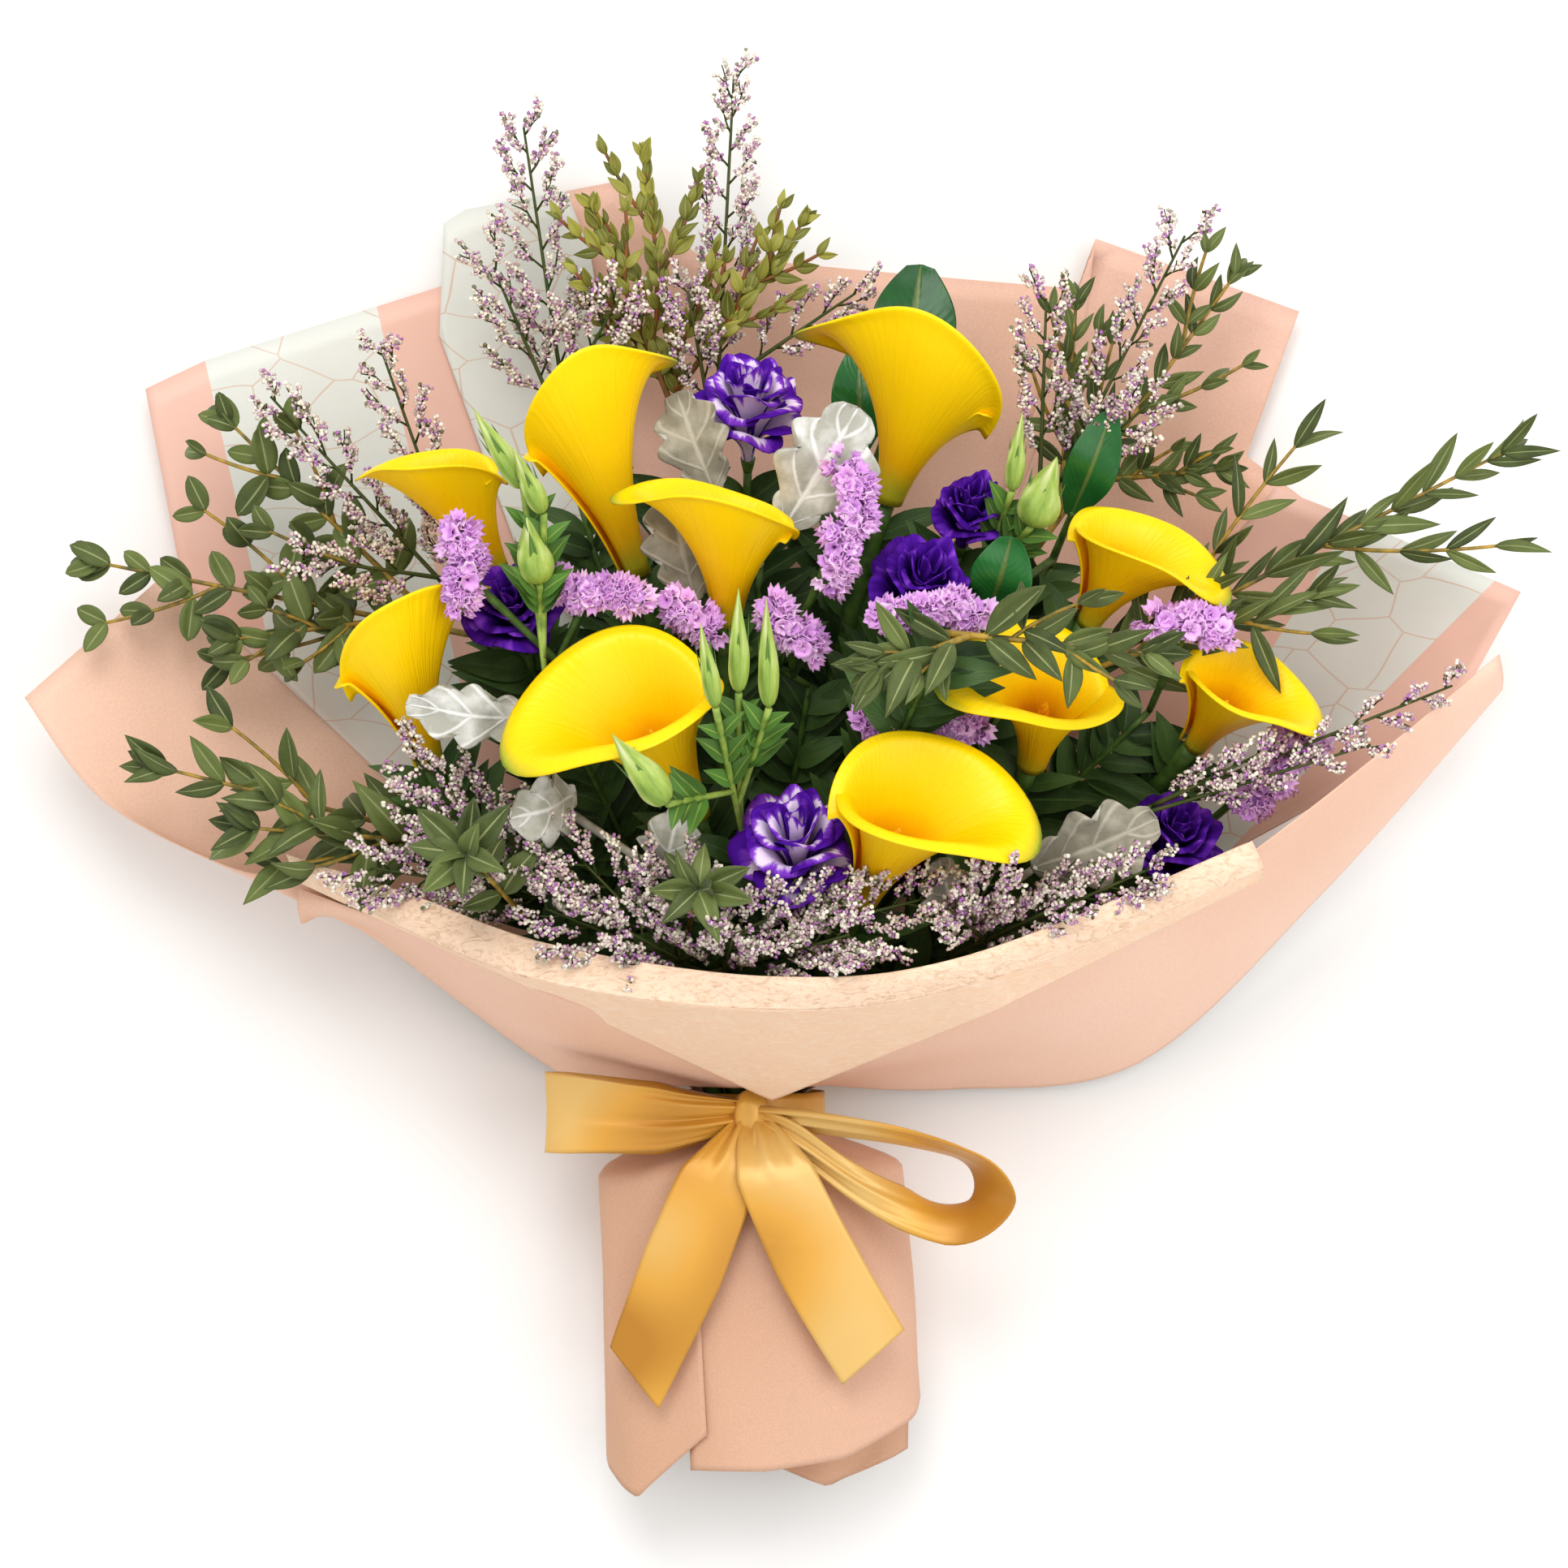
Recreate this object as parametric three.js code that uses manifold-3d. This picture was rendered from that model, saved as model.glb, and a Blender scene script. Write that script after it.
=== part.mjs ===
// A florist's bouquet of ten yellow arum lilies with purple lisianthus, statice, sea lavender and foliage,
// wrapped in peach paper and tied with a satin ribbon. It lies on its back. Millimetres, +Z up.
// The origin is the middle of the flat spot that the back sheet lies on. +Y runs from the tied waist to the
// flower heads, and +Z comes out of the face of the bouquet.
import * as THREE from "three";
import { mergeVertices } from "three/addons/utils/BufferGeometryUtils.js";
import Module from "manifold-3d";

const wasm = await Module();
wasm.setup();
const { Manifold, Mesh } = wasm;
const { lerp, smoothstep, clamp, degToRad, seededRandom } = THREE.MathUtils;

// ---------------------------------------------------------------- driving dimensions, millimetres

const GAP = 0.45; // air left between two neighbours
const WAIST = vec(-14, -135, 32); // middle of the tied waist
const PAPER = 0.8; // thickness of a wrapping sheet
const RIBBON = 0.9; // thickness of the ribbon
const BAND = { radius: 30.5, width: 18, sides: 20 }; // the ribbon's turn round the waist
const FOOT_Y = -262; // where the stems are cut
const STEM_RADIUS = 3.4;
const THROAT = 5.2; // radius of a lily's tube where it meets the stem
const SPATHE = 1.1; // thickness of a lily's spathe
const LEAF = 0.8; // thickness of a leaf
const PETAL = 0.9; // thickness of a lisianthus petal
const SPIKE = 1; // thickness of a sea lavender spike
const UP = vec(0, 0, 1);

// ---------------------------------------------------------------- small helpers

function vec(x, y, z) {
  return new THREE.Vector3(x, y, z);
}

function points(rows) {
  return rows.map((row) => vec(...row));
}

// A point part of the way along a row of points, 0 at the first and 1 at the last.
function along(row, share) {
  const place = clamp(share, 0, 1) * (row.length - 1);
  const before = Math.min(Math.floor(place), row.length - 2);
  return row[before].clone().lerp(row[before + 1], place - before);
}

// A mesh with its shared corners merged, as a solid.
function solidOf(geometry) {
  const bare = new THREE.BufferGeometry();
  bare.setAttribute("position", geometry.getAttribute("position"));
  if (geometry.index) bare.setIndex(geometry.index);
  const merged = mergeVertices(bare, 1e-4);
  const corners = merged.index.array;
  const kept = [];
  for (let i = 0; i < corners.length; i += 3) {
    const [a, b, c] = corners.slice(i, i + 3);
    if (a !== b && b !== c && c !== a) kept.push(a, b, c);
  }
  return new Manifold(
    new Mesh({
      numProp: 3,
      vertProperties: merged.getAttribute("position").array,
      triVerts: new Uint32Array(kept),
    }),
  );
}

function geometryOf(solid) {
  const mesh = solid.getMesh();
  const geometry = new THREE.BufferGeometry();
  geometry.setAttribute("position", new THREE.BufferAttribute(mesh.vertProperties, 3));
  geometry.setIndex(new THREE.BufferAttribute(mesh.triVerts, 1));
  return geometry;
}

function join(solids) {
  return Manifold.union(solids);
}

// The same solid with each face moved out by a distance, to test or cut its neighbours with.
function grown(solid, distance) {
  const [alike, leastSpread] = [0.9, 0.4]; // faces that count as one, and a limit on how far a corner moves
  const geometry = mergeVertices(geometryOf(solid), 1e-4);
  const position = geometry.getAttribute("position");
  const corners = geometry.index.array;
  const facing = Array.from({ length: position.count }, () => []);
  const flat = new THREE.Triangle();
  for (let i = 0; i < corners.length; i += 3) {
    const face = corners.slice(i, i + 3);
    flat.setFromAttributeAndIndices(position, ...face);
    const normal = flat.getNormal(vec(0, 0, 0));
    for (const corner of face) {
      if (!facing[corner].some((known) => known.dot(normal) > alike)) facing[corner].push(normal);
    }
  }
  facing.forEach((normals, i) => {
    const out = normals.reduce((sum, normal) => sum.add(normal), vec(0, 0, 0)).normalize();
    const shortest = Math.max(leastSpread, Math.min(...normals.map((normal) => normal.dot(out))));
    const corner = vec(0, 0, 0).fromBufferAttribute(position, i);
    corner.addScaledVector(out, distance / shortest);
    position.setXYZ(i, ...corner.toArray());
  });
  return solidOf(geometry);
}

// A thin closed sheet: place(u, v) is its middle surface, and both faces are split into triangles alike.
function sheet(cols, rows, place, thickness, upright = null) {
  const plane = new THREE.PlaneGeometry(1, 1, cols, rows);
  const uv = plane.getAttribute("uv");
  const count = uv.count;
  const corners = new Float32Array(count * 6);
  const step = 1e-3;
  const surface = (u, v) => place(clamp(u, 0, 1), clamp(v, 0, 1));
  for (let i = 0; i < count; i++) {
    const [u, v] = [uv.getX(i), uv.getY(i)];
    const across = surface(u + step, v).sub(surface(u - step, v));
    const normal = upright ?? across.cross(surface(u, v + step).sub(surface(u, v - step))).normalize();
    const middle = surface(u, v);
    middle.clone().addScaledVector(normal, thickness / 2).toArray(corners, i * 3);
    middle.clone().addScaledVector(normal, -thickness / 2).toArray(corners, (count + i) * 3);
  }
  const index = [];
  const front = plane.index.array;
  for (let i = 0; i < front.length; i += 3) {
    const [a, b, c] = front.slice(i, i + 3);
    index.push(a, b, c, count + a, count + c, count + b);
  }
  const at = (col, row) => row * (cols + 1) + col;
  const rim = [];
  for (let col = 0; col < cols; col++) rim.push(at(col, rows));
  for (let row = rows; row > 0; row--) rim.push(at(cols, row));
  for (let col = cols; col > 0; col--) rim.push(at(col, 0));
  for (let row = 0; row < rows; row++) rim.push(at(0, row));
  rim.forEach((a, i) => {
    const b = rim[(i + 1) % rim.length];
    index.push(b, a, count + a, b, count + a, count + b);
  });
  const geometry = new THREE.BufferGeometry();
  geometry.setAttribute("position", new THREE.BufferAttribute(corners, 3));
  geometry.setIndex(index);
  return geometry;
}

// The point at a share of a curve, moved to the curve's right and to its upper side.
function beside(curve, share, right, upper) {
  const tangent = curve.getTangent(share);
  const side = tangent.clone().cross(UP).normalize();
  return curve.getPoint(share).addScaledVector(side, right).addScaledVector(side.cross(tangent), upper);
}

// A closed round stem along a curve, its radius given at each share of its length.
function stem(curve, radiusAt, sides, steps) {
  const geometry = new THREE.CylinderGeometry(1, 1, 1, sides, steps);
  const position = geometry.getAttribute("position");
  for (let i = 0; i < position.count; i++) {
    const share = position.getY(i) + 0.5;
    const radius = radiusAt(share);
    const corner = beside(curve, share, position.getX(i) * radius, position.getZ(i) * radius);
    position.setXYZ(i, ...corner.toArray());
  }
  return geometry;
}

// A closed stem whose rings lie where its profile says: rows of share of the length and radius.
function profiledStem(curve, profile, sides) {
  const geometry = new THREE.CylinderGeometry(1, 1, 1, sides, profile.length - 1);
  const position = geometry.getAttribute("position");
  for (let i = 0; i < position.count; i++) {
    const row = Math.round((position.getY(i) + 0.5) * (profile.length - 1));
    const [share, radius] = profile[row];
    const corner = beside(curve, share, position.getX(i) * radius, position.getZ(i) * radius);
    position.setXYZ(i, ...corner.toArray());
  }
  return geometry;
}

// Curves from a root to each end, the later ones leaving the first a little further up it.
function forks(root, ends, rise) {
  const [step, highest] = [0.13, 0.5]; // shares of the first curve
  const start = vec(...root);
  const curveTo = (from, end) => {
    const middle = from.clone().lerp(end, 0.5).add(vec(0, 0, rise));
    return new THREE.QuadraticBezierCurve3(from, middle, end);
  };
  const first = curveTo(start, vec(...ends[0]));
  return ends.map((end, i) => (
    i ? curveTo(first.getPoint(Math.min(highest, step * i)), vec(...end)) : first
  ));
}

// Turns a shape made at the origin so that its +Z runs along axis and its +X leans towards a direction.
function aimed(geometry, origin, axis, towards) {
  const z = axis.clone().normalize();
  const x = towards.clone().addScaledVector(z, -towards.dot(z)).normalize();
  const turn = new THREE.Matrix4().makeBasis(x, z.clone().cross(x), z).setPosition(origin);
  return geometry.clone().applyMatrix4(turn);
}

// ---------------------------------------------------------------- the bouquet, filled one piece at a time

const bouquet = new THREE.Group();
const standing = []; // the space that each piece in place keeps clear

function boxesMeet(a, b) {
  const [p, q] = [a.boundingBox(), b.boundingBox()];
  return [0, 1, 2].every((k) => p.min[k] <= q.max[k] && q.min[k] <= p.max[k]);
}

// How much of a solid lies in the space of what is already in place, in cubic millimetres.
function blocked(solid) {
  return standing
    .filter((near) => boxesMeet(solid, near))
    .reduce((sum, near) => sum + solid.intersect(near).volume(), 0);
}

// Cuts a piece back from the space of what is already in place, and keeps its one largest body.
function cutClear(solid) {
  let kept = solid;
  for (const near of standing) {
    if (boxesMeet(kept, near)) kept = kept.subtract(near);
  }
  return kept.decompose().sort((a, b) => b.volume() - a.volume())[0];
}

// Joins the simple parts of one piece, clears it from its neighbours and puts it in the bouquet.
function add(name, parts, material) {
  const geometry = geometryOf(cutClear(join(parts)));
  geometry.computeVertexNormals();
  const mesh = new THREE.Mesh(geometry, material);
  mesh.name = name;
  bouquet.add(mesh);
  standing.push(join(parts.map((part) => grown(part, GAP))));
}

function finish(color, roughness) {
  return new THREE.MeshStandardMaterial({ color, roughness, metalness: 0 });
}

const PEACH_PAPER = finish("#efc6a8", 0.8);
const CREAM_PAPER = finish("#f6dcc0", 0.9);
const PRINTED_PAPER = finish("#eee8e0", 0.7);
const SATIN = finish("#e0ab4a", 0.35);
const LILY_YELLOW = finish("#ffd60a", 0.45);
const LISIANTHUS_PURPLE = finish("#5a1fa6", 0.6);
const STATICE_LILAC = finish("#b779dc", 0.8);
const SEA_LAVENDER = finish("#cdb4c4", 0.8);
const EUCALYPTUS_GREEN = finish("#5f7050", 0.6);
const GOLD_GREEN = finish("#7d8a3a", 0.55);
const SILVER_FELT = finish("#c3c3b6", 0.95);
const BUD_GREEN = finish("#8fae55", 0.5);
const GLOSS_GREEN = finish("#1f5a34", 0.3);
const STEM_GREEN = finish("#5d7a38", 0.5);

// ---------------------------------------------------------------- wrapping paper

// How far the sheets that lie on the surface curl up towards the rim of the bouquet.
function floorLift(x, y) {
  const [flatRadius, rimRadius, rise] = [170, 350, 14];
  return rise * smoothstep(Math.hypot(x, y - 20), flatRadius, rimRadius);
}

// A point on the ring where a sheet is gathered at the waist; 0 degrees is +X and 90 is +Z.
function waistPoint(degrees, radius, y) {
  const angle = degToRad(degrees);
  return vec(WAIST.x + radius * Math.cos(angle), y, WAIST.z + radius * Math.sin(angle));
}

// A sheet that lies under the flowers, fanned from the waist to its rim. Layer 0 lies on the surface.
function backSheet({ rim, from, to, layer, raise = 0 }, cols, rows) {
  const edge = points(rim.map(([x, y]) => [x, y, 0]));
  const spacing = 2.4; // from one layer to the next
  const gatherRadius = 27 - spacing * layer;
  const flatShare = 0.25; // the gathered end has come down to the surface by here
  const place = (u, row) => {
    const v = Math.pow(row, 1.3); // rows are closer together near the waist
    const gathered = waistPoint(lerp(from, to, u), gatherRadius, WAIST.y + 5);
    const point = gathered.clone().lerp(along(edge, u), v);
    const lying = PAPER / 2 + spacing * layer + floorLift(point.x, point.y) + raise * v * v * v;
    point.z = lerp(gathered.z, lying, smoothstep(v, 0, flatShare));
    return point;
  };
  return [solidOf(sheet(cols, rows, place, PAPER, UP))];
}

// A sheet stretched between two edges, bulging upwards between them.
function frontSheet({ low, high, bulge }, cols, rows) {
  const [lower, upper] = [points(low), points(high)];
  const place = (u, v) => {
    const point = along(lower, u).lerp(along(upper, u), v);
    point.z += bulge * Math.sin(Math.PI * v);
    return point;
  };
  return [solidOf(sheet(cols, rows, place, PAPER))];
}

const BACK_SHEETS = {
  paper_back: {
    rim: [[-150, 165], [-94, 251], [-74, 255], [-37, 225], [35, 218], [125, 210], [165, 180]],
    from: 232, to: 308, layer: 0,
  },
  paper_back_left: {
    rim: [[-255, 87], [-264, 135], [-270, 167], [-245, 179], [-142, 212], [-120, 205]],
    from: 200, to: 231, layer: 1,
  },
  paper_back_right: {
    rim: [[128, 196], [132, 231], [218, 200], [196, 139], [228, 115]],
    from: 308, to: 330, layer: 1,
  },
  paper_fold_left: {
    rim: [[-146, 190], [-144, 237], [-135, 243], [-92, 251], [-82, 225]],
    from: 224, to: 240, layer: 2,
  },
  paper_right: {
    rim: [[205, 124], [228, 115], [307, 80], [275, 22], [211, -15]],
    from: 330, to: 366, layer: 2, raise: 40,
  },
};

const FRONT_SHEETS = {
  paper_left_wing: {
    low: [[-31, -128, 20], [-33, -128, 24], [-34, -128, 28], [-34, -128, 32], [-34, -127, 36]],
    high: [[-259, 89, 36], [-316, 36, 62], [-284, -6, 66], [-234, -33, 72], [-204, -39, 76]],
    bulge: 0,
  },
  paper_front_left: {
    low: [[-201, -58, 62], [-179, -60, 40], [-102, -118, 10], [-75, -127, 12], [-42, -126, 40]],
    high: [[-201, -54, 68], [-152, -68, 118], [-109, -84, 146], [-62, -98, 132], [-14, -126, 68]],
    bulge: 10,
  },
  paper_right_wing: {
    low: [[297, 39, 80], [225, -46, 44], [150, -118, 12], [71, -129, 12], [15, -126, 42]],
    high: [[293, 53, 108], [211, -11, 150], [145, -58, 150], [83, -94, 144], [-2, -126, 66]],
    bulge: 10,
  },
  paper_front_band: {
    low: [[-202, -40, 82], [-109, -79, 156], [-5, -131, 78], [83, -92, 156], [193, -38, 156]],
    high: [[-202, -36, 86], [-109, -76, 160], [-3, -90, 178], [83, -78, 176], [193, -34, 162]],
    bulge: 0,
  },
  tissue_collar: {
    low: [
      [-36, -126, 42], [-30, -126, 50], [-20, -126, 56], [-12, -126, 58], [-4, -126, 56], [4, -126, 48],
    ],
    high: [
      [-205, -29, 90], [-152, -45, 128], [-92, -65, 162], [-2, -77, 184], [75, -68, 184],
      [188, -23, 164],
    ],
    bulge: 0,
  },
};

// The skirt of paper round the stems below the tie: an oval tube, open at a slit, cut to an uneven hem.
function handleSheet({ from, to, hem, inset }, cols, rows) {
  const [top, flareShare] = [WAIST.y - 5, 0.3];
  const gathered = { centre: WAIST, halfWidth: 23, halfHeight: 23 };
  const opened = { centre: vec(-7, 0, 38.6), halfWidth: 64, halfHeight: 37 };
  const hemLine = points(hem.map((y) => [0, y, 0]));
  const place = (u, v) => {
    const angle = degToRad(lerp(from, to, u));
    const open = smoothstep(v, 0, flareShare);
    const halfWidth = lerp(gathered.halfWidth, opened.halfWidth, open) - inset + 3 * v;
    const halfHeight = lerp(gathered.halfHeight, opened.halfHeight, open) - inset;
    return vec(
      lerp(gathered.centre.x, opened.centre.x, v) + halfWidth * Math.cos(angle),
      lerp(top, along(hemLine, u).y, v),
      lerp(gathered.centre.z, opened.centre.z, open) + halfHeight * Math.sin(angle),
    );
  };
  return [solidOf(sheet(cols, rows, place, PAPER))];
}

const HANDLE_SHEETS = {
  handle_paper_left: { from: 112, to: 266, hem: [-270, -297, -286, -264, -255, -250], inset: 0 },
  handle_paper_front: {
    from: -88,
    to: 120,
    hem: [-250, -250, -251, -258, -268, -280, -285, -285],
    inset: 2.4,
  },
};

// ---------------------------------------------------------------- ribbon

function band() {
  const [inner, outer, half] = [BAND.radius, BAND.radius + RIBBON, BAND.width / 2];
  const section = [
    [inner, -half],
    [outer, -half],
    [outer, half],
    [inner, half],
    [inner, -half],
  ].map(([r, y]) => new THREE.Vector2(r, y));
  const ring = new THREE.LatheGeometry(section, BAND.sides).rotateY(Math.PI / BAND.sides);
  return [solidOf(ring.translate(WAIST.x, WAIST.y - 3, WAIST.z))];
}

// A length of ribbon, given by rows along it: its middle line, the directions its width points, its widths.
function ribbonStrip({ line, across, width }, steps) {
  const curve = new THREE.CatmullRomCurve3(points(line));
  const [turns, widths] = [points(across), points(width.map((w) => [w, 0, 0]))];
  const place = (u, v) => (
    curve.getPoint(v).addScaledVector(along(turns, v).normalize(), (u - 0.5) * along(widths, v).x)
  );
  return solidOf(sheet(1, steps, place, RIBBON));
}

const RIBBON_STRIPS = [
  {
    // left loop, folded back at its outer end
    line: [
      [-14, -137, 68], [-45, -139, 78], [-80, -137, 80], [-99, -136, 74], [-80, -137, 67],
      [-45, -139, 66], [-16, -137, 66],
    ],
    across: [[0, 1, 0.3], [0, 1, 0.1], [0, 1, 0], [0, 1, 0], [0, 1, -0.1], [0, 1, -0.2]],
    width: [9, 26, 33, 34, 30, 9],
  },
  {
    // right loop, on edge at its outer end
    line: [
      [-12, -137, 68], [15, -140, 82], [52, -146, 90], [80, -156, 90], [86, -172, 88], [68, -180, 86],
      [38, -170, 84], [8, -150, 78], [-10, -139, 69],
    ],
    across: [
      [0, 1, 1], [0.2, 0.5, 1], [0.2, 0.2, 1], [1, 0, 1], [0.6, -0.8, 0.4], [0.6, -1, 0], [0.4, -1, 0],
    ],
    width: [9, 18, 22, 26, 32, 34, 9],
  },
  {
    // left tail
    line: [[-16, -138, 69], [-26, -160, 80], [-42, -200, 80], [-62, -246, 75]],
    across: [[1, 0.4, 0], [1, -0.4, 0.1], [1, -0.4, 0.2]],
    width: [10, 32, 35, 35],
  },
  {
    // right tail
    line: [[-12, -138, 69], [-4, -160, 84], [14, -198, 86], [37, -237, 80]],
    across: [[1, 0.1, 0], [1, 0.3, 0], [1, 0.5, -0.1]],
    width: [10, 32, 35, 35],
  },
];

function bow() {
  const stepsPerPoint = 1.4;
  const knot = new THREE.SphereGeometry(1, 6, 4).scale(9, 12, 6).translate(WAIST.x, WAIST.y - 2, 69.8);
  const strips = RIBBON_STRIPS.map((strip) => (
    ribbonStrip(strip, Math.round(stepsPerPoint * (strip.line.length - 1)))
  ));
  return [solidOf(knot), ...strips];
}

// ---------------------------------------------------------------- arum lilies

// Each lily: where its tube meets the stem, the middle of its mouth, its pointed tip, the mouth's radius.
const LILIES = {
  lily_front: { base: [31, -49, 154], mouth: [54, -2, 198], tip: [100, -2, 206], radius: 40 },
  lily_centre_left: { base: [-36, -13, 142], mouth: [-60, 34, 182], tip: [-106, 10, 186], radius: 40 },
  lily_centre: { base: [-24, 66, 138], mouth: [-22, 108, 168], tip: [-60, 120, 172], radius: 33 },
  lily_tall_left: { base: [-60, 86, 104], mouth: [-82, 146, 130], tip: [-54, 178, 136], radius: 31 },
  lily_upper_left: { base: [-120, 88, 100], mouth: [-136, 122, 126], tip: [-158, 130, 128], radius: 25 },
  lily_left: { base: [-144, 8, 116], mouth: [-158, 56, 142], tip: [-163, 86, 148], radius: 29 },
  lily_upper_right: { base: [42, 117, 90], mouth: [60, 172, 114], tip: [12, 196, 116], radius: 39 },
  lily_right_back: { base: [124, 66, 108], mouth: [143, 98, 138], tip: [180, 84, 142], radius: 31 },
  lily_right: { base: [100, 8, 128], mouth: [108, 44, 166], tip: [72, 36, 172], radius: 34 },
  lily_far_right: { base: [168, 16, 106], mouth: [186, 42, 138], tip: [211, 34, 140], radius: 27 },
};

// The rolled spathe in the lily's own frame: +Z up the tube, +X towards the tip.
// u runs from one free edge round the back to the other, and v from the stem to the rim.
function spathePoint(u, v, length, mouth) {
  const overlap = 1.1; // the free edges pass each other by a tenth of a half turn
  const pitch = 1.5; // so one edge lies this far outside the other on each side
  const tipWidth = 0.2; // share of a half turn
  const side = 2 * u - 1;
  const back = 1 - side * side;
  const tip = Math.exp(-((side / tipWidth) ** 2));
  const reach = mouth * (0.8 + 0.16 * back + 0.4 * tip);
  const height = length * (0.66 + 0.34 * back);
  const flare = Math.pow(v, 2.4);
  const radius = lerp(THROAT + 3.5 * v, reach, flare) + side * pitch;
  const curl = tip * mouth * 0.35 * Math.pow(v, 6);
  const angle = side * Math.PI * overlap;
  return vec(
    radius * Math.cos(angle),
    radius * Math.sin(angle),
    height * (1 - Math.pow(1 - v, 1.35)) - curl,
  );
}

function lily({ base, mouth, tip, radius }) {
  const [root, centre, point] = points([base, mouth, tip]);
  const axis = centre.clone().sub(root);
  const length = axis.length() * 1.12;
  const towards = point.clone().sub(centre);
  const place = (u, v) => spathePoint(u, Math.pow(v, 0.85), length, radius);
  const spathe = sheet(10, 4, place, SPATHE);
  const spadixLength = 0.68 * length;
  const spadix = new THREE.ConeGeometry(THROAT + 2.4, spadixLength, 5).rotateX(Math.PI / 2);
  spadix.translate(0, 0, spadixLength / 2 - 1);
  return [spathe, spadix].map((part) => solidOf(aimed(part, root, axis, towards)));
}

// ---------------------------------------------------------------- lisianthus

const LISIANTHUS = {
  lisianthus_top: { base: [-15, 132, 78], face: [-14, 172, 112], radius: 23 },
  lisianthus_upper_right: { base: [72, 96, 108], face: [78, 122, 142], radius: 15 },
  lisianthus_centre_right: { base: [48, 62, 132], face: [60, 92, 172], radius: 20 },
  lisianthus_left: { base: [-106, 56, 112], face: [-112, 80, 148], radius: 18 },
  lisianthus_front: { base: [6, -44, 140], face: [4, -10, 186], radius: 23 },
  lisianthus_right: { base: [150, -38, 96], face: [164, -12, 132], radius: 20 },
};

// A bloom in its own frame, +Z towards its face: petals rolled one round the other in a spiral, each a lobe
// of the rim, in a small green calyx.
function lisianthus({ base, face, radius }) {
  const [root, centre] = points([base, face]);
  const axis = centre.clone().sub(root);
  const depth = axis.length();
  const [turns, petals, columns] = [2.05, 8, 2];
  const place = (u, v) => {
    const lobe = Math.abs(Math.sin(Math.PI * petals * u));
    const rim = radius * lerp(0.26, 1, u) * (0.82 + 0.18 * lobe);
    const out = lerp(lerp(1.5, 4.6, u), rim, Math.pow(v, 1.6));
    const height = depth * lerp(1, 0.78, u) * Math.pow(v, 0.75) * (0.86 + 0.14 * lobe);
    const angle = 2 * Math.PI * turns * u;
    return vec(out * Math.cos(angle), out * Math.sin(angle), height);
  };
  const calyx = new THREE.CylinderGeometry(2.6, 2, 5, 5, 1).rotateX(Math.PI / 2).translate(0, 0, -0.5);
  return [sheet(petals * columns, 2, place, PETAL), calyx]
    .map((part) => solidOf(aimed(part, root, axis, vec(0, 0, 1))));
}

// ---------------------------------------------------------------- statice

// Each head: the row of points its crest of florets follows, and the crest's half width.
const STATICE = {
  statice_left: {
    root: [-86, 44, 136],
    crests: [[[-131, 72, 160], [-130, 102, 166]], [[-98, 80, 150], [-58, 76, 158]]],
    half: 8,
  },
  statice_centre: {
    root: [10, 40, 118],
    crests: [
      [[-44, 72, 152], [-30, 66, 150]],
      [[-4, 72, 160], [8, 54, 158]],
      [[16, 84, 164], [26, 106, 166], [26, 128, 160]],
    ],
    half: 9,
  },
  statice_right: {
    root: [60, 34, 120],
    crests: [[[40, 66, 180], [78, 68, 176]], [[34, 24, 154], [76, 22, 152]]],
    half: 8,
  },
  statice_right_back: { root: [150, 30, 100], crests: [[[150, 66, 150], [176, 64, 146]]], half: 8 },
  statice_far_right: {
    root: [160, -30, 80],
    crests: [[[186, -6, 120], [200, 8, 124], [212, 20, 120]]],
    half: 10,
  },
};

// Small funnel florets stand on a crest, and a stalk joins each crest to the root.
function statice({ root, crests, half }) {
  const feet = crests.map((crest) => along(points(crest), 0.5).toArray());
  const parts = forks(root, feet, 0).map((curve) => stem(curve, (s) => lerp(1.6, 2, s), 3, 2));
  for (const crest of crests) {
    const line = points(crest);
    const stretch = line[0].distanceTo(line[line.length - 1]);
    const curve = new THREE.CatmullRomCurve3([line[0], along(line, 0.5), line[line.length - 1]]);
    parts.push(stem(curve, () => half * 0.4, 3, 2));
    const florets = Math.round(stretch / 13);
    for (let i = 0; i <= florets; i++) {
      for (const lean of [-1, 1]) {
        const middle = curve.getPoint(clamp((i + 0.25 * lean) / florets, 0, 1));
        const level = curve.getTangent(0.5).cross(vec(0, 0, 1)).normalize();
        const out = level.multiplyScalar(lean * 0.75).add(vec(0, 0, 1)).normalize();
        out.add(vec(seededRandom() - 0.5, seededRandom() - 0.5, 0).multiplyScalar(0.5)).normalize();
        const floret = new THREE.ConeGeometry(5, half * 1.15, 3).rotateX(-Math.PI / 2);
        floret.translate(0, 0, half * 0.55);
        parts.push(aimed(floret, middle, out, vec(1, 0, 0)));
      }
    }
  }
  return parts.map(solidOf);
}

// ---------------------------------------------------------------- sea lavender

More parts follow.
